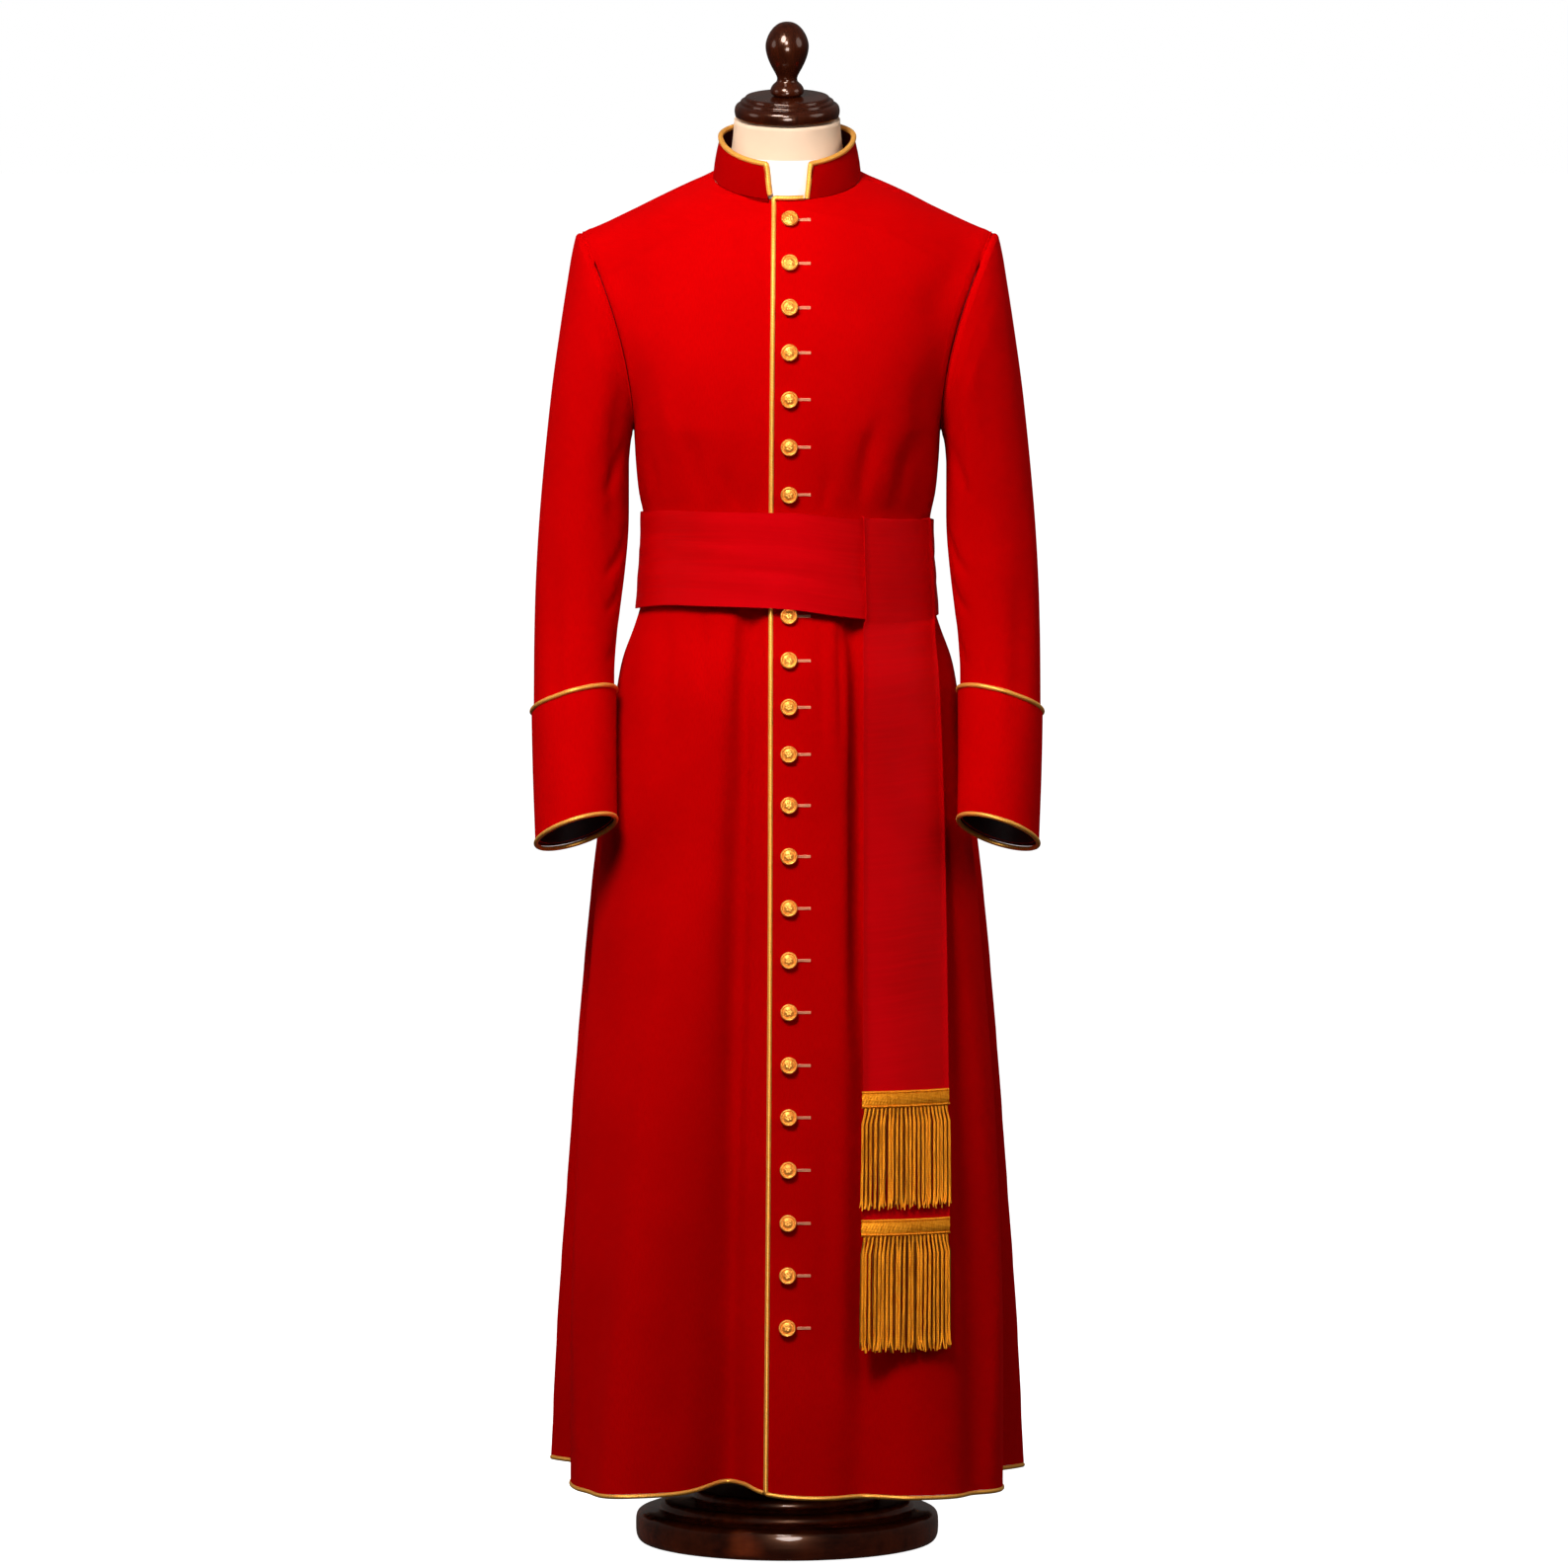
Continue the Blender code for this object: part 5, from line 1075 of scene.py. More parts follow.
def tail_detail(grid, seed):
    """Soft lengthwise waves and the narrow hems of a sash tail."""
    across, along = thread_lengths(grid, False)
    width = across[:, -1:]
    places = np.stack([across, along], -1)
    edge = np.minimum(across, width - across)
    depth = drape_noise(places, seed, TAIL_SWELL, TAIL_WAVE) * ease(edge / TAIL_FIRM)
    for line in (SASH_HEM, width - SASH_HEM):
        depth = depth + SASH_HEM_DEPTH * np.exp(-((across - line) / SASH_HEM_WIDTH) ** 2)
    depth = depth - TAIL_EDGE_RISE * np.exp(-(edge / TAIL_EDGE_WIDTH) ** 2)
    return pressed(grid, depth)


def upper_tail():
    """The tail that rolls over the band's top edge and hangs down in front of it."""
    shares = np.linspace(0.0, 1.0, TAIL_COLUMNS)
    rows = [[over_band(share, drop, out) for share in shares] for drop, out in TAIL_ROLL]
    rows += tail_rows(UPPER_TAIL, TAIL_TOP, TAIL_KEYS)
    return tail_detail(smooth_columns(np.array(rows), TAIL_ROWS), 21)


def lower_tail():
    """The tail behind, which starts under the upper one."""
    return tail_detail(np.array(tail_rows(LOWER_TAIL, LOWER_TOP, TAIL_ROWS)), 22)


# === fringe =======================================================================================
def header_face(tail):
    """How far the outer face of a tail's header lies outside the skirt."""
    return tail[1] + SEAM + HEADER_WALL


def header(tail):
    """Woven gold header: a padded strip between two twisted cords."""
    top, foot = tail[2:4]
    columns = np.linspace(0.0, 1.0, HEADER_COLUMNS)
    rows = []
    for share in np.linspace(0.0, 1.0, HEADER_ROWS):
        height = top + (foot - top) * share
        out = header_face(tail) + HEADER_SWELL * math.sin(math.pi * share) - HEADER_SINK
        rows.append([tail_point(column, height, out, HEADER_SPREAD) for column in columns])
    grid = np.array(rows)
    across, along = thread_lengths(grid, False)
    weave = np.sin(across * 2.0 * math.pi / HEADER_WEAVE_STEP + along * HEADER_WEAVE_LEAN)
    return pressed(grid, HEADER_WEAVE * weave)


def twisted(points, radius, pitch):
    """Two strands wound round a line, as in a cord."""
    lengths = run_lengths(points)
    where = np.linspace(0.0, lengths[-1], int(lengths[-1] / pitch * CORD_STEPS))
    line = read_line(points, lengths, where)
    one, two = frames_along(line)
    strands = []
    for start in (0.0, math.pi):
        turn = where / pitch * 2.0 * math.pi + start
        offset = radius * PLY_OFFSET * (np.cos(turn)[:, None] * one + np.sin(turn)[:, None] * two)
        strands.append((line + offset, radius * PLY_RADIUS))
    return strands


def strand(tail, random, start, end, sway, out, curl):
    """One hanging strand: from its knot it spreads to its own place, sways and curls at the tip."""
    top, foot = tail[3] - SEAM, tail[4] + random.uniform(0.0, FRINGE_RAGGED)
    phase = random.uniform(0.0, 2.0 * math.pi)
    points = []
    for t in np.linspace(0.0, 1.0, FRINGE_POINTS):
        spread = float(ease(t / FRINGE_OPENS))
        tip = float(ease((t - 1.0) / FRINGE_TIP + 1.0))
        share = start + (end - start) * spread + sway * math.sin(FRINGE_SWING * t + phase) * spread * t
        height = top + (foot - top) * t + FRINGE_LIFT * tip
        points.append(tail_point(share + curl * tip, height, out + FRINGE_CURL * tip,
                                 FRINGE_SPREAD * spread - FRINGE_GATHER * (1.0 - spread)))
    radius = np.full(FRINGE_POINTS, FRINGE_THREAD * random.uniform(*FRINGE_UNEVEN))
    radius[-2:] *= FRINGE_BULB
    return points, radius


def fringe_backing(tail, seed):
    """The plain layer of straight strands behind the bunches."""
    random = np.random.RandomState(seed + 100)
    out = header_face(tail) - BACKING_SINK
    shares = (np.arange(FRINGE_BACKING) + 0.5) / FRINGE_BACKING
    return [strand(tail, random, share, share, BACKING_SWAY, out, 0.0) for share in shares]


def fringe_lines(tail, seed):
    """Bullion fringe: strands in small bunches under their knots."""
    random = np.random.RandomState(seed)
    out = header_face(tail) - FRINGE_THREAD
    lines = []
    for number in range(FRINGE_KNOTS):
        knot = (number + 0.5) / FRINGE_KNOTS
        drift = random.uniform(-FRINGE_STRAY, FRINGE_STRAY) / FRINGE_KNOTS
        sway = random.uniform(-1.0, 1.0) * FRINGE_SWAY
        for place in FRINGE_CLUSTER:
            start = knot + 0.5 * place / FRINGE_KNOTS
            end = knot + drift + (place + random.uniform(-FRINGE_SLIP, FRINGE_SLIP)) / FRINGE_KNOTS
            curl = random.uniform(-FRINGE_TWIST, FRINGE_TWIST) / FRINGE_KNOTS
            lines.append(strand(tail, random, start, end, sway, out, curl))
    return lines


def knots(tail):
    """Row of small knots where the fringe leaves its header."""
    out = header_face(tail) - KNOT_SINK
    heights = np.linspace(tail[3] - KNOT_DROP, tail[3] - KNOT_DROP - KNOT_LENGTH, len(KNOT_SHAPE))
    lines = []
    for number in range(FRINGE_KNOTS):
        share = (number + 0.5) / FRINGE_KNOTS
        lines.append(([tail_point(share, height, out) for height in heights], KNOT_RADIUS * KNOT_SHAPE))
    return lines


# === buttons and buttonholes ======================================================================
def front_depth(grid, x, height):
    """Depth (y) of the left front's face at one x and height."""
    near = grid[:, :CENTRE_COLUMNS]
    level = np.array([np.interp(x, row[:, 0], row[:, 2]) for row in near])
    depth = np.array([np.interp(x, row[:, 0], row[:, 1]) for row in near])
    keep = slice(0, int(np.argmax(level)) + 1)
    return float(np.interp(height, level[keep], depth[keep]))


def curve_through(points, samples=6):
    """Uniform cubic B-spline on a profile's points, kept on its two ends."""
    points = np.array(points, float)
    padded = np.concatenate([[2 * points[0] - points[1]], points, [2 * points[-1] - points[-2]]])
    made = []
    for i in range(len(points) - 1):
        a, b, c, d = padded[i:i + 4]
        for t in np.linspace(0.0, 1.0, samples, endpoint=False):
            made.append(((1 - t)**3 * a + (3 * t**3 - 6 * t**2 + 4) * b
                         + (-3 * t**3 + 3 * t**2 + 3 * t + 1) * c + t**3 * d) / 6.0)
    made.append(points[-1])
    return np.array(made)


def turned(name, profile, look, sides, relief=None):
    """Turned piece from a profile of (radius, height), top centre to bottom centre."""
    line = curve_through(profile)
    inner = np.maximum(line[1:-1], (0.0, -np.inf))
    turn = np.linspace(0.0, 2.0 * math.pi, sides, endpoint=False)
    radius = inner[:, :1] * np.ones((1, sides))
    height = inner[:, 1:] * np.ones((1, sides))
    if relief is not None:
        height = height + relief(radius, turn[None, :], np.arange(len(inner))[:, None])
    rings = np.stack([radius * np.cos(turn), radius * np.sin(turn), height], -1)
    verts = np.concatenate([[UP * line[0, 1]], rings.reshape(-1, 3), [UP * line[-1, 1]]])
    quads = grid_faces(len(inner), sides, True)[:, ::-1] + 1
    j = np.arange(sides)
    last = 1 + (len(inner) - 1) * sides
    top = np.stack([np.zeros(sides, int), 1 + j, 1 + (j + 1) % sides], -1)
    bottom = np.stack([np.full(sides, len(verts) - 1), last + (j + 1) % sides, last + j], -1)
    faces = top.tolist() + quads.tolist() + bottom.tolist()
    corners = sum(len(face) for face in faces)
    return mesh_piece(name, verts, faces, np.zeros((corners, 2)), look, sharp=70.0)


def rosette(radius, turn, number):
    """Six-petalled rosette and a beaded ring, raised on a button's crown."""
    petals = np.abs(np.cos(PETALS / 2.0 * turn)) ** 0.7
    leaf = np.exp(-((radius - PETAL_RING) / PETAL_LENGTH) ** 2) * petals
    heart = np.exp(-(radius / HEART_RADIUS) ** 2)
    beads = np.exp(-((radius - BEAD_RING) / BEAD_WIDTH) ** 2) * (0.5 + 0.5 * np.cos(BEADS * turn))
    relief = ROSETTE_RISE * leaf + HEART_RISE * heart + BEAD_RISE * beads
    return np.where(number < BUTTON_CROWN_ROWS, relief, 0.0)


def buttons(grid, look):
    """All the buttons share one mesh; each leans with the cloth under it."""
    first = None
    for number, height in enumerate(BUTTON_HEIGHTS, start=1):
        name = "button_%02d" % number
        x = float(table(BUTTON_LINE, 1, height))
        y = front_depth(grid, x, height)
        rise = front_depth(grid, x, height + BUTTON_RADIUS) - front_depth(grid, x, height - BUTTON_RADIUS)
        lean = math.atan2(rise, 2.0 * BUTTON_RADIUS)
        if first is None:
            made = first = turned("gilt_" + name, BUTTON_PROFILE, look, BUTTON_SIDES, rosette)
        else:
            made = link("gilt_" + name, first.data)
        place = Matrix.Translation((x, y - BUTTON_GAP, height))
        spin = Matrix.Rotation(math.radians(BUTTON_SPIN * number), 4, "Z")
        made.matrix_world = place @ Matrix.Rotation(math.radians(90.0) - lean, 4, "X") @ spin
        belong(made, "gilt_brass", name)


def buttonhole(grid, height):
    """Worked buttonhole from beside the button: purl edges, cross stitches and an end bar."""
    def on_cloth(x, up, lift):
        return (x, front_depth(grid, x, height + up) - lift, height + up)

    half = HOLE_WIDTH / 2.0
    across = (-half, 0.0, half)
    stitches = np.linspace(HOLE_START, HOLE_END, HOLE_STITCHES)
    lines = [([on_cloth(x, up, PURL_LIFT) for x in stitches], HOLE_THREAD * PURL) for up in (-half, half)]
    lines += [([on_cloth(x, up, STITCH_LIFT) for up in across], HOLE_THREAD) for x in stitches]
    bar = [on_cloth(HOLE_END + HOLE_THREAD, up * BAR_LENGTH, STITCH_LIFT) for up in across]
    return lines + [(bar, HOLE_THREAD * BAR)]


# === piping =======================================================================================
def rounded(points, window):
    """A line read every couple of millimetres and softened, so that its corners turn round."""
    lengths = run_lengths(points)
    where = np.linspace(0.0, lengths[-1], max(int(lengths[-1] / PIPE_STEP), 4))
    line = read_line(points, lengths, where)
    reach = max(int(window / PIPE_STEP), 1)
    padded = np.concatenate([np.repeat(line[:1], reach, 0), line, np.repeat(line[-1:], reach, 0)])
    kernel = np.hanning(2 * reach + 3)[1:-1]
    kernel /= kernel.sum()
    soft = np.stack([np.convolve(padded[:, axis], kernel, "valid") for axis in range(3)], -1)
    soft[0], soft[-1] = line[0], line[-1]
    return soft


def grow(points, distance):
    """Move a line of points away from its middle in plan, along the line's own side direction."""
    points = np.asarray(points, float)
    ahead = np.gradient(points[:, :2], axis=0)
    side = np.stack([ahead[:, 1], -ahead[:, 0]], -1)
    side /= np.linalg.norm(side, axis=1)[:, None] + 1e-12
    middle = points[:, :2].mean(axis=0)
    if np.mean(np.sum(side * (points[:, :2] - middle), axis=1)) < 0.0:
        side = -side
    moved = points.copy()
    moved[:, :2] += side * distance
    return moved


def trim(points, start, end):
    """A line without the given lengths at its start and end."""
    lengths = run_lengths(points)
    last = lengths[-1] - end
    where = np.concatenate([[start], lengths[(lengths > start) & (lengths < last)], [last]])
    return read_line(points, lengths, where)


def front_piping(left, look):
    """One run of piping: along the left front's hem, up its edge and across the collar's notch."""
    reach = PIPE_RADIUS + PIPE_GAP
    hem = trim(grow(left[0], -WALL / 2.0), 0.0, HEM_PIPE_BACK) - UP * reach
    neck_row = int(np.argmin(np.abs(left[:, 0, 2] - FRONT_YOKE[NECK_ROW][0])))
    edge = left[:neck_row, 0] + np.array([-reach, 0.0, 0.0])
    corner = np.array([edge[0] * LEVEL + UP * hem[0, 2]])
    seam = np.array([collar_foot(angle) for angle in np.linspace(NECK_PIPE_START, NECK_PIPE_END, 8)])
    seam += np.array(NECK_PIPE_LIFT) * reach
    line = rounded(np.concatenate([hem[::-1], corner, edge, seam]), PIPE_TURN)
    return tubes("front_piping", [(line, PIPE_RADIUS)], look, PIPE_SIDES)


def hem_piping(name, line, start, look):
    """Piping under one panel's hem."""
    hem = trim(grow(line, -WALL / 2.0), start, HEM_PIPE_BACK) - UP * (PIPE_RADIUS + PIPE_GAP)
    return tubes(name, [(rounded(hem, HEM_TURN), PIPE_RADIUS)], look, PIPE_SIDES)


def collar_piping(stand, look):
    """Piping up one edge of the notch, round the collar's top and down the other edge."""
    reach = PIPE_RADIUS + PIPE_GAP
    top = grow(stand[-1], -WALL / 2.0) + UP * reach
    inside = np.array([0.0, WALL / 2.0, 0.0])
    right = stand[:, -1] + np.array([reach, 0.0, 0.0]) + inside
    left = stand[:, 0] - np.array([reach, 0.0, 0.0]) + inside
    right[0, 2] += COLLAR_PIPE_LIFT
    left[0, 2] += PIPE_GAP
    line = np.concatenate([right, right[-1:] + UP * reach, top[::-1], left[-1:] + UP * reach, left[::-1]])
    return tubes("collar_piping", [(rounded(line, COLLAR_TURN), COLLAR_PIPE_RADIUS)], look, PIPE_SIDES)


def cuff_piping(grid, side, look):
    """The two rings of piping on a cuff's edges."""
    line = grow(grid[0], -WALL * CUFF_PIPE_SINK) + UP * (PIPE_RADIUS + PIPE_GAP)
    upper = tubes("cuff_piping_top_" + side, [(line, PIPE_RADIUS)], look, PIPE_SIDES, closed=True)
    line = grow(grid[-1], -WALL / 2.0) - UP * (PIPE_RADIUS + PIPE_GAP)
    lower = tubes("cuff_piping_end_" + side, [(line, PIPE_RADIUS)], look, PIPE_SIDES, closed=True)
    return upper, lower


# === dress form ===================================================================================
def form_torso(look):
    """The CAD torso's own mesh, welded and rounded by subdivision; the rim under the cap stays crisp."""
    work = bmesh.new()
    work.from_mesh(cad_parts["form_torso"].data)
    bmesh.ops.remove_doubles(work, verts=work.verts, dist=WELD)
    bmesh.ops.join_triangles(work, faces=work.faces, angle_face_threshold=JOIN_ANGLE,
                             angle_shape_threshold=JOIN_SHAPE)
    crease = work.edges.layers.float.new("crease_edge")
    for edge in work.edges:
        if min(vert.co.z for vert in edge.verts) > CAP_BASE - RIM_HEIGHT:
            edge[crease] = 1.0
    data = bpy.data.meshes.new("linen_torso")
    work.to_mesh(data)
    work.free()
    made = link("linen_torso", data, look)
    smooth = made.modifiers.new("round", "SUBSURF")
    smooth.levels = smooth.render_levels = 2
    data.polygons.foreach_set("use_smooth", np.ones(len(data.polygons), bool))
    return made


def hardware(wood, stand):
    """Turned cap and finial on the tilted neck, and the pole and base of the stand."""
    neck_top = Matrix.Translation((0.0, 0.0, CAP_BASE)) @ Matrix.Rotation(NECK_TILT, 4, "X")
    for name, profile, sides, matrix in (("form_cap", CAP_PROFILE, 96, neck_top),
                                         ("form_finial", FINIAL_PROFILE, 72, neck_top),
                                         ("form_pole", POLE_PROFILE, 48, Matrix.Identity(4)),
                                         ("form_base", BASE_PROFILE, 128, Matrix.Identity(4))):
        made = turned("turned_" + name[5:], profile, stand if name == "form_base" else wood, sides)
        made.matrix_world = matrix
        belong(made, "dark_wood", name)


def belong(piece, slot, *nodes):
    """Rides on the one body and stands for its CAD nodes, which it hides; slot is not used."""
    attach(piece, ROOT)
    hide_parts(*nodes)
    return piece


# === materials ====================================================================================
class Look:
    """A Principled material and short ways to add its texture nodes."""

    def __init__(self, name, roughness, metallic=0.0, specular=0.5):
        self.material = bpy.data.materials.new(name)
        self.material.use_nodes = True
        self.tree = self.material.node_tree
        self.shader = self.tree.nodes["Principled BSDF"]
        self.shader.inputs["Roughness"].default_value = roughness
        self.shader.inputs["Metallic"].default_value = metallic
        self.shader.inputs["Specular IOR Level"].default_value = specular

    def node(self, kind, **inputs):
        made = self.tree.nodes.new(kind)
        for key, value in inputs.items():
            made.inputs[key.replace("_", " ")].default_value = value
        return made

    def join(self, out, into):
        self.tree.links.new(out, into)

    def threads(self, across=1.0, along=1.0, turn=0.0):
        """The cloth's thread lengths (its UV map, in metres), scaled to a pattern."""
        made = self.node("ShaderNodeMapping", Scale=(across, along, 1.0), Rotation=(0.0, 0.0, turn))
        source = self.tree.nodes.new("ShaderNodeUVMap")
        source.uv_map = "threads"
        self.join(source.outputs["UV"], made.inputs["Vector"])
        return made.outputs["Vector"]

    def place(self, scale=(1.0, 1.0, 1.0)):
        """The object's own coordinates in metres, scaled."""
        made = self.node("ShaderNodeMapping", Scale=scale)
        source = self.tree.nodes.new("ShaderNodeTexCoord")
        self.join(source.outputs["Object"], made.inputs["Vector"])
        return made.outputs["Vector"]

    def noise(self, vector, scale, detail=3.0, roughness=0.55):
        made = self.node("ShaderNodeTexNoise", Scale=scale, Detail=detail, Roughness=roughness)
        self.join(vector, made.inputs["Vector"])
        return made.outputs["Fac"]

    def wave(self, vector, scale, bands="X", distortion=0.0):
        made = self.node("ShaderNodeTexWave", Scale=scale, Distortion=distortion, Detail=1.0)
        made.wave_type = "BANDS"
        made.bands_direction = bands
        self.join(vector, made.inputs["Vector"])
        return made.outputs["Fac"]

    def maths(self, operation, one, two):
        made = self.tree.nodes.new("ShaderNodeMath")
        made.operation = operation
        for number, value in enumerate((one, two)):
            if isinstance(value, (int, float)):
                made.inputs[number].default_value = value
            else:
                self.join(value, made.inputs[number])
        return made.outputs[0]

    def ramp(self, factor, *stops):
        """Colours or greys at places along a factor."""
        made = self.tree.nodes.new("ShaderNodeValToRGB")
        elements = made.color_ramp.elements
        while len(elements) < len(stops):
            elements.new(0.5)
        for element, (place, colour) in zip(elements, stops):
            element.position = place
            colour = (colour,) * 3 if isinstance(colour, float) else colour
            element.color = (*colour, 1.0)
        self.join(factor, made.inputs["Fac"])
        return made.outputs["Color"]

    def mix(self, factor, one, two, blend="MIX"):
        made = self.tree.nodes.new("ShaderNodeMix")
        made.data_type = "RGBA"
        made.blend_type = blend
        for socket, value in ((made.inputs[0], factor), (made.inputs[6], one), (made.inputs[7], two)):
            if isinstance(value, tuple):
                socket.default_value = (*value, 1.0)
            elif isinstance(value, float):
                socket.default_value = value
            else:
                self.join(value, socket)
        return made.outputs[2]

    def blend(self, factor, low, high, one, two, most=1.0):
        """From one colour where the factor is low towards another where it is high."""
        return self.mix(self.ramp(factor, (low, 0.0), (high, most)), one, two)

    def colour(self, source):
        self.join(source, self.shader.inputs["Base Color"])

    def rough(self, factor, *stops):
        self.join(self.ramp(factor, *stops), self.shader.inputs["Roughness"])

    def gloss(self, tint, *more):
        """Tint of the reflections, and of any other named tint."""
        for name in ("Specular Tint",) + more:
            self.shader.inputs[name].default_value = (*tint, 1.0)

    def bump(self, height, distance, strength=1.0):
        made = self.node("ShaderNodeBump", Strength=strength, Distance=distance)
        self.join(height, made.inputs["Height"])
        if self.shader.inputs["Normal"].is_linked:
            self.join(self.shader.inputs["Normal"].links[0].from_socket, made.inputs["Normal"])
        self.join(made.outputs["Normal"], self.shader.inputs["Normal"])

    def sheen(self, weight, roughness, tint):
        self.shader.inputs["Sheen Weight"].default_value = weight
        self.shader.inputs["Sheen Roughness"].default_value = roughness
        self.gloss(tint, "Sheen Tint")


def shaded(share, *tones):
    """Colours made darker or lighter by the same share; it paints shade and light into copies of a
    material.
    """
    return [tuple(share * part for part in tone) for tone in tones]


def wool(name="scarlet_wool", shade=1.0):
    """Scarlet worsted twill: fine diagonal weave, slubs, a little fuzz and slow colour drift."""
    look = Look(name, 0.82, specular=0.05)
    # a shade below 1 darkens the colours: painted shade, as on the collar
    deep, bright, thread = shaded(shade, WOOL_DEEP, WOOL_BRIGHT, WOOL_THREAD)
    slubs = look.noise(look.threads(900.0, 120.0), 1.0, 2.0)
    drift = look.noise(look.place(), 7.0, 3.0)
    fuzz = look.noise(look.place(), 900.0, 2.0, 0.7)
    base = look.blend(drift, 0.35, 0.68, deep, bright)
    base = look.blend(slubs, 0.38, 0.70, base, thread, 0.35)
    look.colour(base)
    look.rough(fuzz, (0.3, 0.76), (0.7, 0.92))
    twill = look.wave(look.threads(1.0, 1.0, math.radians(32.0)), 560.0)
    look.bump(look.maths("ADD", twill, look.maths("MULTIPLY", fuzz, 0.8)), 0.00012, 0.55)
    look.bump(look.noise(look.place(), 38.0, 2.0), 0.0006, 0.20)
    look.sheen(0.08, 0.45, (1.0, 0.003, 0.004))
    return look.material


def silk():
    """Crimson faille: fine cross ribs with a soft directional sheen."""
    look = Look("crimson_silk", 0.46, specular=0.7)
    ribs = look.wave(look.threads(), 520.0, "Y", 0.4)
    streaks = look.noise(look.threads(9.0, 260.0), 1.0, 3.0)
    drift = look.noise(look.place(), 9.0, 2.0)
    base = look.blend(drift, 0.35, 0.68, SILK_DEEP, SILK_BRIGHT)
    base = look.blend(streaks, 0.42, 0.72, base, SILK_THREAD, 0.45)
    look.colour(base)
    look.rough(streaks, (0.3, 0.48), (0.7, 0.64))
    look.bump(look.maths("ADD", ribs, look.maths("MULTIPLY", streaks, 0.7)), 0.00010, 0.5)
    look.sheen(0.06, 0.35, (1.0, 0.002, 0.012))
    look.shader.inputs["Anisotropic"].default_value = 0.3
    look.gloss(SILK_GLOSS)
    return look.material


def piping_satin():
    """Gold satin wrapped round a cord: diagonal threads and small puckers."""
    look = Look("gold_piping_satin", 0.40, metallic=0.25, specular=0.9)
    wrap = look.wave(look.threads(1.0, 330.0, math.radians(20.0)), 1.0, "DIAGONAL", 1.2)
    pucker = look.noise(look.threads(2.0, 160.0), 1.0, 2.0)
    base = look.blend(pucker, 0.35, 0.7, PIPING_DEEP, PIPING_BRIGHT)
    look.colour(look.blend(wrap, 0.2, 0.9, base, PIPING_LIGHT, 0.35))
    look.rough(wrap, (0.2, 0.30), (0.9, 0.44))
    look.bump(look.maths("ADD", wrap, pucker), 0.00018, 0.6)
    look.sheen(0.50, 0.3, (1.0, 0.48, 0.10))
    return look.material


def gold_thread(name="gold_thread", shade=FRINGE_SHADE, dim=1.0):
    """Metallic bullion thread: tight twist with bright plies and painted shade in its hollows; dim darkens
    it all, as painted shade for a layer behind.
    """
    look = Look(name, 0.36, metallic=0.55, specular=0.5)
    deep, bright = shaded(dim, THREAD_DEEP, THREAD_BRIGHT)
    twist = look.wave(look.threads(6.28, 2600.0), 0.16, "DIAGONAL", 0.3)
    tone = look.noise(look.place((500.0, 500.0, 60.0)), 1.0, 2.0)
    base = look.blend(tone, 0.3, 0.7, deep, bright)
    # painted shade: the twist's hollows are darkened towards THREAD_SHADE
    look.colour(look.mix(look.ramp(twist, (0.15, shade), (0.8, 0.0)), base, THREAD_SHADE))
    look.rough(tone, (0.3, 0.30), (0.7, 0.52))
    look.bump(twist, 0.00022, 0.8)
    look.gloss(THREAD_GLOSS)
    return look.material


def inside_shade():
    """Painted shade for the garment's inner faces: near-black satin with fine ribs and slow drift, for the
    shade inside the cloth.
    """
    look = Look("painted_inside_shade", 0.50, specular=0.15)
    ribs = look.wave(look.threads(), 480.0, "Y", 0.4)
    drift = look.noise(look.place(), 12.0, 3.0)
    look.colour(look.blend(drift, 0.35, 0.65, INSIDE_SHADE_DEEP, INSIDE_SHADE_BRIGHT))
    look.rough(drift, (0.3, 0.44), (0.7, 0.58))
    look.bump(ribs, 0.00006, 0.5)
    return look.material


def gilt_brass():
    """Struck gilt buttons: bright and darker gilt in a fine random patina, and faint wear."""
    look = Look("gilt_brass", 0.36, metallic=0.65)
    patina = look.noise(look.place(), 420.0, 4.0, 0.6)
    base = look.blend(patina, 0.38, 0.66, BRASS_DEEP, BRASS_BRIGHT)
    look.colour(base)
    look.rough(patina, (0.35, 0.46), (0.7, 0.30))
    look.bump(patina, 0.00006, 0.6)
    return look.material


def linen():
    """Cream dress-form cover: fine plain weave and slow drift of tone."""
    look = Look("cream_linen", 0.80, specular=0.1)
    place = look.place()
    warp = look.wave(place, 420.0, "X", 0.6)
    weft = look.wave(place, 420.0, "Z", 0.6)
    drift = look.noise(place, 16.0, 3.0)
    base = look.blend(drift, 0.35, 0.65, LINEN_DEEP, LINEN_BRIGHT)
    weave = look.maths("MULTIPLY", warp, weft)
    look.colour(look.mix(look.ramp(weave, (0.1, 0.25), (0.6, 0.0)), base, LINEN_THREAD))
    look.rough(drift, (0.3, 0.74), (0.7, 0.86))
    look.bump(weave, 0.00012, 0.5)
    look.sheen(0.05, 0.5, (1.0, 0.85, 0.75))
    return look.material


def starched_white():
    """Starched linen: fine plain weave with a slight gloss."""
    look = Look("starched_white", 0.42, specular=0.4)
    warp, weft = (look.wave(look.threads(), 700.0, bands, 0.3) for bands in "XY")
    weave = look.maths("MULTIPLY", warp, weft)
    soft = look.noise(look.place(), 60.0, 2.0)
    look.colour(look.blend(soft, 0.3, 0.7, WHITE_COOL, WHITE_WARM))
    look.rough(soft, (0.3, 0.38), (0.7, 0.50))
    look.bump(weave, 0.00005, 0.5)
    return look.material


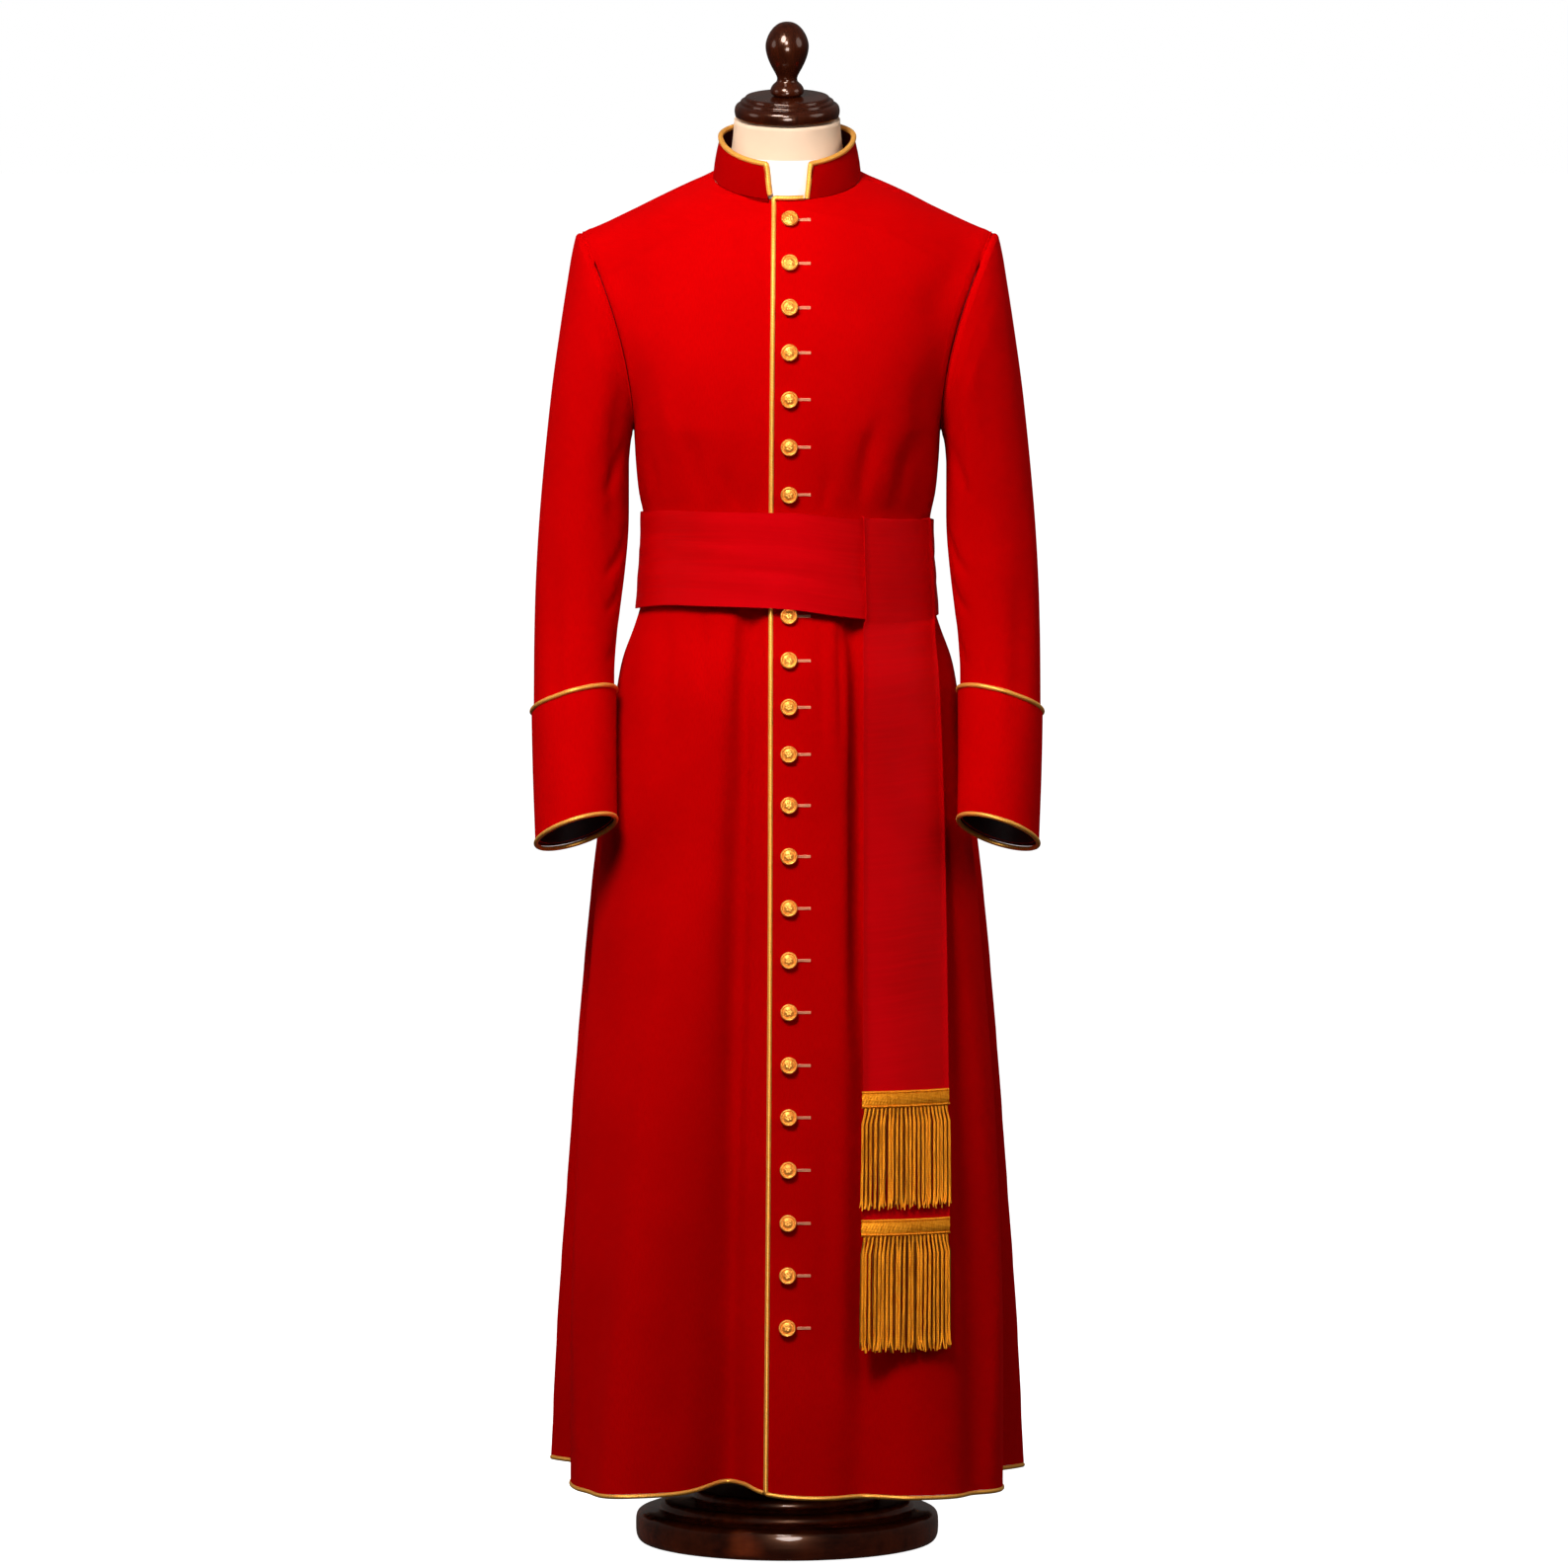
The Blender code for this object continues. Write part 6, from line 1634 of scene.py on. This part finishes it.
def dark_wood(name="dark_mahogany", shade=1.0, stretch=CAP_GRAIN):
    """Polished mahogany: stretched grain under a clear coat."""
    look = Look(name, 0.30, specular=0.35)
    # a shade above 1 lightens the colours: painted light, as on the stand's base
    deep, bright, red = shaded(shade, WOOD_DEEP, WOOD_BRIGHT, WOOD_RED)
    grain = look.noise(look.place(stretch), 1.0, 5.0, 0.6)
    figure = look.noise(look.place((22.0, 22.0, 5.0)), 1.0, 3.0, 0.5)
    base = look.blend(grain, 0.36, 0.66, deep, bright)
    look.colour(look.blend(figure, 0.40, 0.75, base, red, 0.5))
    look.rough(grain, (0.3, 0.20), (0.7, 0.28))
    look.bump(grain, 0.00001, 0.15)
    look.shader.inputs["Coat Weight"].default_value = 0.5
    look.shader.inputs["Coat Roughness"].default_value = 0.06
    look.gloss(WOOD_GLOSS, "Coat Tint")
    return look.material


def floor_paint():
    """Pale floor that glows a little, so that it stays even."""
    look = Look("pale_floor", 0.9, specular=0.1)
    soft = look.noise(look.place(), 1.5, 2.0)
    look.colour(look.blend(soft, 0.3, 0.7, FLOOR_COOL, FLOOR_WARM))
    look.shader.inputs["Emission Color"].default_value = (1.0, 1.0, 1.0, 1.0)
    look.shader.inputs["Emission Strength"].default_value = FLOOR_GLOW
    return look.material


def hole_thread():
    """Twisted buttonhole silk, pink and gold."""
    look = Look("buttonhole_thread", 0.55, specular=0.3)
    twist = look.noise(look.place((1800.0, 300.0, 1800.0)), 1.0, 1.0)
    look.colour(look.blend(twist, 0.3, 0.7, BUTTONHOLE_PINK, BUTTONHOLE_GOLD))
    look.rough(twist, (0.3, 0.45), (0.7, 0.65))
    look.bump(twist, 0.00010, 0.6)
    return look.material


# === stage ========================================================================================
def facing(place, target):
    """Rotation that points a lamp or camera at its target."""
    return (Vector(target) - Vector(place)).to_track_quat("-Z", "Y").to_euler()


def stage():
    """Floor, lights, sky and camera."""
    data = bpy.data.meshes.new("floor")
    half = FLOOR_HALF
    data.from_pydata([(-half, -half, 0.0), (half, -half, 0.0), (half, half, 0.0), (-half, half, 0.0)],
                     [], [(0, 1, 2, 3)])
    floor = link("floor", data, floor_paint())
    floor.visible_diffuse = False
    floor.visible_glossy = False
    for name, place, target, size, power in LIGHTS:
        lamp = bpy.data.lights.new(name, "AREA")
        lamp.shape = "DISK"
        lamp.size = size
        lamp.energy = power
        made = bpy.data.objects.new(name, lamp)
        made.location = place
        made.rotation_euler = facing(place, target)
        made.visible_glossy = not name.startswith("back")
        made.visible_diffuse = not name.startswith("glint")
        bpy.context.scene.collection.objects.link(made)
    sky()
    lens = bpy.data.cameras.new("camera")
    lens.lens = CAMERA_LENS
    lens.sensor_width = 36.0
    lens.clip_start, lens.clip_end = 0.5, 200.0
    camera = bpy.data.objects.new("camera", lens)
    camera.location = CAMERA_PLACE
    camera.rotation_euler = facing(CAMERA_PLACE, CAMERA_TARGET)
    bpy.context.scene.collection.objects.link(camera)
    bpy.context.scene.camera = camera
    bpy.context.scene.view_settings.view_transform = "Standard"


def sky():
    """White behind the object; as a light it is dimmer, and dimmer still below the horizon."""
    world = bpy.data.worlds.new("sky")
    world.use_nodes = True
    tree = world.node_tree
    background = tree.nodes["Background"]
    background.inputs["Color"].default_value = (1.0, 1.0, 1.0, 1.0)
    place = tree.nodes.new("ShaderNodeTexCoord")
    split = tree.nodes.new("ShaderNodeSeparateXYZ")
    tree.links.new(place.outputs["Generated"], split.inputs[0])
    height = tree.nodes.new("ShaderNodeMapRange")
    height.inputs["From Min"].default_value = -0.25
    height.inputs["From Max"].default_value = 0.35
    height.inputs["To Min"].default_value = SKY_LOW
    height.inputs["To Max"].default_value = SKY_HIGH
    tree.links.new(split.outputs["Z"], height.inputs["Value"])
    seen = tree.nodes.new("ShaderNodeLightPath")
    strength = tree.nodes.new("ShaderNodeMath")
    strength.operation = "MAXIMUM"
    tree.links.new(seen.outputs["Is Camera Ray"], strength.inputs[0])
    tree.links.new(height.outputs[0], strength.inputs[1])
    tree.links.new(strength.outputs[0], background.inputs["Strength"])
    bpy.context.scene.world = world


# === build ========================================================================================
def fringe(tail, name, seed, gold, woven, behind):
    """Header, cords, knots and strands of one tail's fringe."""
    grid = header(tail)
    braid = shell("header_braid_" + name, grid, woven, HEADER_WALL * 0.8)
    belong(braid, "gold_thread", "header_" + name)
    cords = tubes("header_cord_" + name, twisted(grid[1], CORD_RADIUS, CORD_PITCH)
                  + twisted(grid[-2], CORD_RADIUS, CORD_PITCH), woven, 7)
    belong(cords, "gold_thread", "header_" + name)
    strands = tubes("fringe_strands_" + name, knots(tail) + fringe_lines(tail, seed), gold, 6)
    belong(strands, "gold_thread", "fringe_" + name)
    backing = tubes("fringe_backing_" + name, fringe_backing(tail, seed), behind, 6)
    belong(backing, "gold_thread", "fringe_" + name)
    return [braid, cords, strands, backing]


def build_cloth(cloth, trims):
    """Fronts, backs, sleeves, cuffs and collar, each with its piping."""
    # inner is the painted shade put on the inner faces of the cloth shells
    red, inner, satin = wool(), inside_shade(), piping_satin()
    grids = {"front_left": front_panel(True), "front_right": front_panel(False),
             "back_left": back_panel(True), "back_right": back_panel(False)}
    for name, grid in grids.items():
        cloth[name] = belong(shell("cloth_" + name, grid, red, WALL, False, inner), "wool", name)
    for side, name in ((1, "left"), (-1, "right")):
        sleeved = shell("cloth_sleeve_" + name, sleeve(side), red, WALL, True, inner)
        cloth["sleeve_" + name] = belong(sleeved, "wool", "sleeve_" + name)
        grid = cuff(side)
        cuffed = shell("cloth_cuff_" + name, grid, red, WALL, True, inner)
        cloth["cuff_" + name] = belong(cuffed, "wool", "cuff_" + name)
        upper, lower = cuff_piping(grid, name, satin)
        belong(upper, "gold_piping", "piping_cuff_top_" + name)
        belong(lower, "gold_piping", "piping_cuff_end_" + name)
        trims["cuff_" + name] = [upper, lower]
    stand = collar()
    # the collar's wool is darkened: painted shade on the standing collar
    painted_shade_wool = wool("collar_wool_painted_shade", COLLAR_PAINTED_SHADE)
    standing = shell("cloth_collar", tucked(stand), painted_shade_wool, WALL, False, inner)
    cloth["collar"] = belong(standing, "wool", "collar")
    trims["collar"] = [belong(collar_piping(stand, satin), "gold_piping", "piping_collar")]
    trims["front_left"] = [belong(front_piping(grids["front_left"], satin), "gold_piping",
                                  "piping_front_edge", "piping_neck", "piping_hem_front_left")]
    hem = grids["front_right"][0]
    lines = {"front_right": (hem[hem[:, 0] < HEM_LAP_END], 0.0)}
    for name in ("back_left", "back_right"):
        lines[name] = (grids[name][0], PIPE_GAP)
    for name, (line, start) in lines.items():
        piped = hem_piping("hem_piping_" + name, line, start, satin)
        trims[name] = [belong(piped, "gold_piping", "piping_hem_" + name)]
    return grids["front_left"]


def build_sash(cloth, trims):
    """Band, two tails and their fringes."""
    crimson, gold, braid = silk(), gold_thread(), gold_thread("gold_braid", BRAID_SHADE)
    behind = gold_thread("gold_thread_shaded", FRINGE_SHADE, FRINGE_BACK_DIM)
    cloth["sash_band"] = belong(shell("silk_band", band(), crimson, SASH_WALL, True), "silk", "sash_band")
    for name, tail, grid, seed in (("upper", UPPER_TAIL, upper_tail(), 31),
                                   ("lower", LOWER_TAIL, lower_tail(), 32)):
        hung = shell("silk_tail_" + name, grid, crimson, SASH_WALL)
        cloth["sash_tail_" + name] = belong(hung, "silk", "sash_tail_" + name)
        trims["sash_tail_" + name] = fringe(tail, name, seed, gold, braid, behind)


def build_buttons(front):
    """Buttons on the left front's edge, and a worked buttonhole beside each one that shows."""
    buttons(front, gilt_brass())
    lines = []
    for number, height in enumerate(BUTTON_HEIGHTS, start=1):
        if number not in HIDDEN_BUTTONS:
            lines += buttonhole(front, height)
    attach(tubes("buttonholes", lines, hole_thread(), 5), ROOT)


def build():
    """The whole look: garment, sash, buttons, collar insert, dress form and stand."""
    cloth, trims = {}, {}
    front = build_cloth(cloth, trims)
    build_sash(cloth, trims)
    build_buttons(front)
    insert = shell("white_insert", collar_insert(), starched_white(), INSERT_WALL)
    cloth["collar_insert"] = belong(insert, "white_insert", "collar_insert")
    belong(form_torso(linen()), "form_linen", "form_torso")
    # the stand's base takes a lighter mahogany: painted light
    hardware(dark_wood(), dark_wood("stand_mahogany_painted_light", BASE_PAINTED_LIGHT, STAND_GRAIN))


stage()
build()
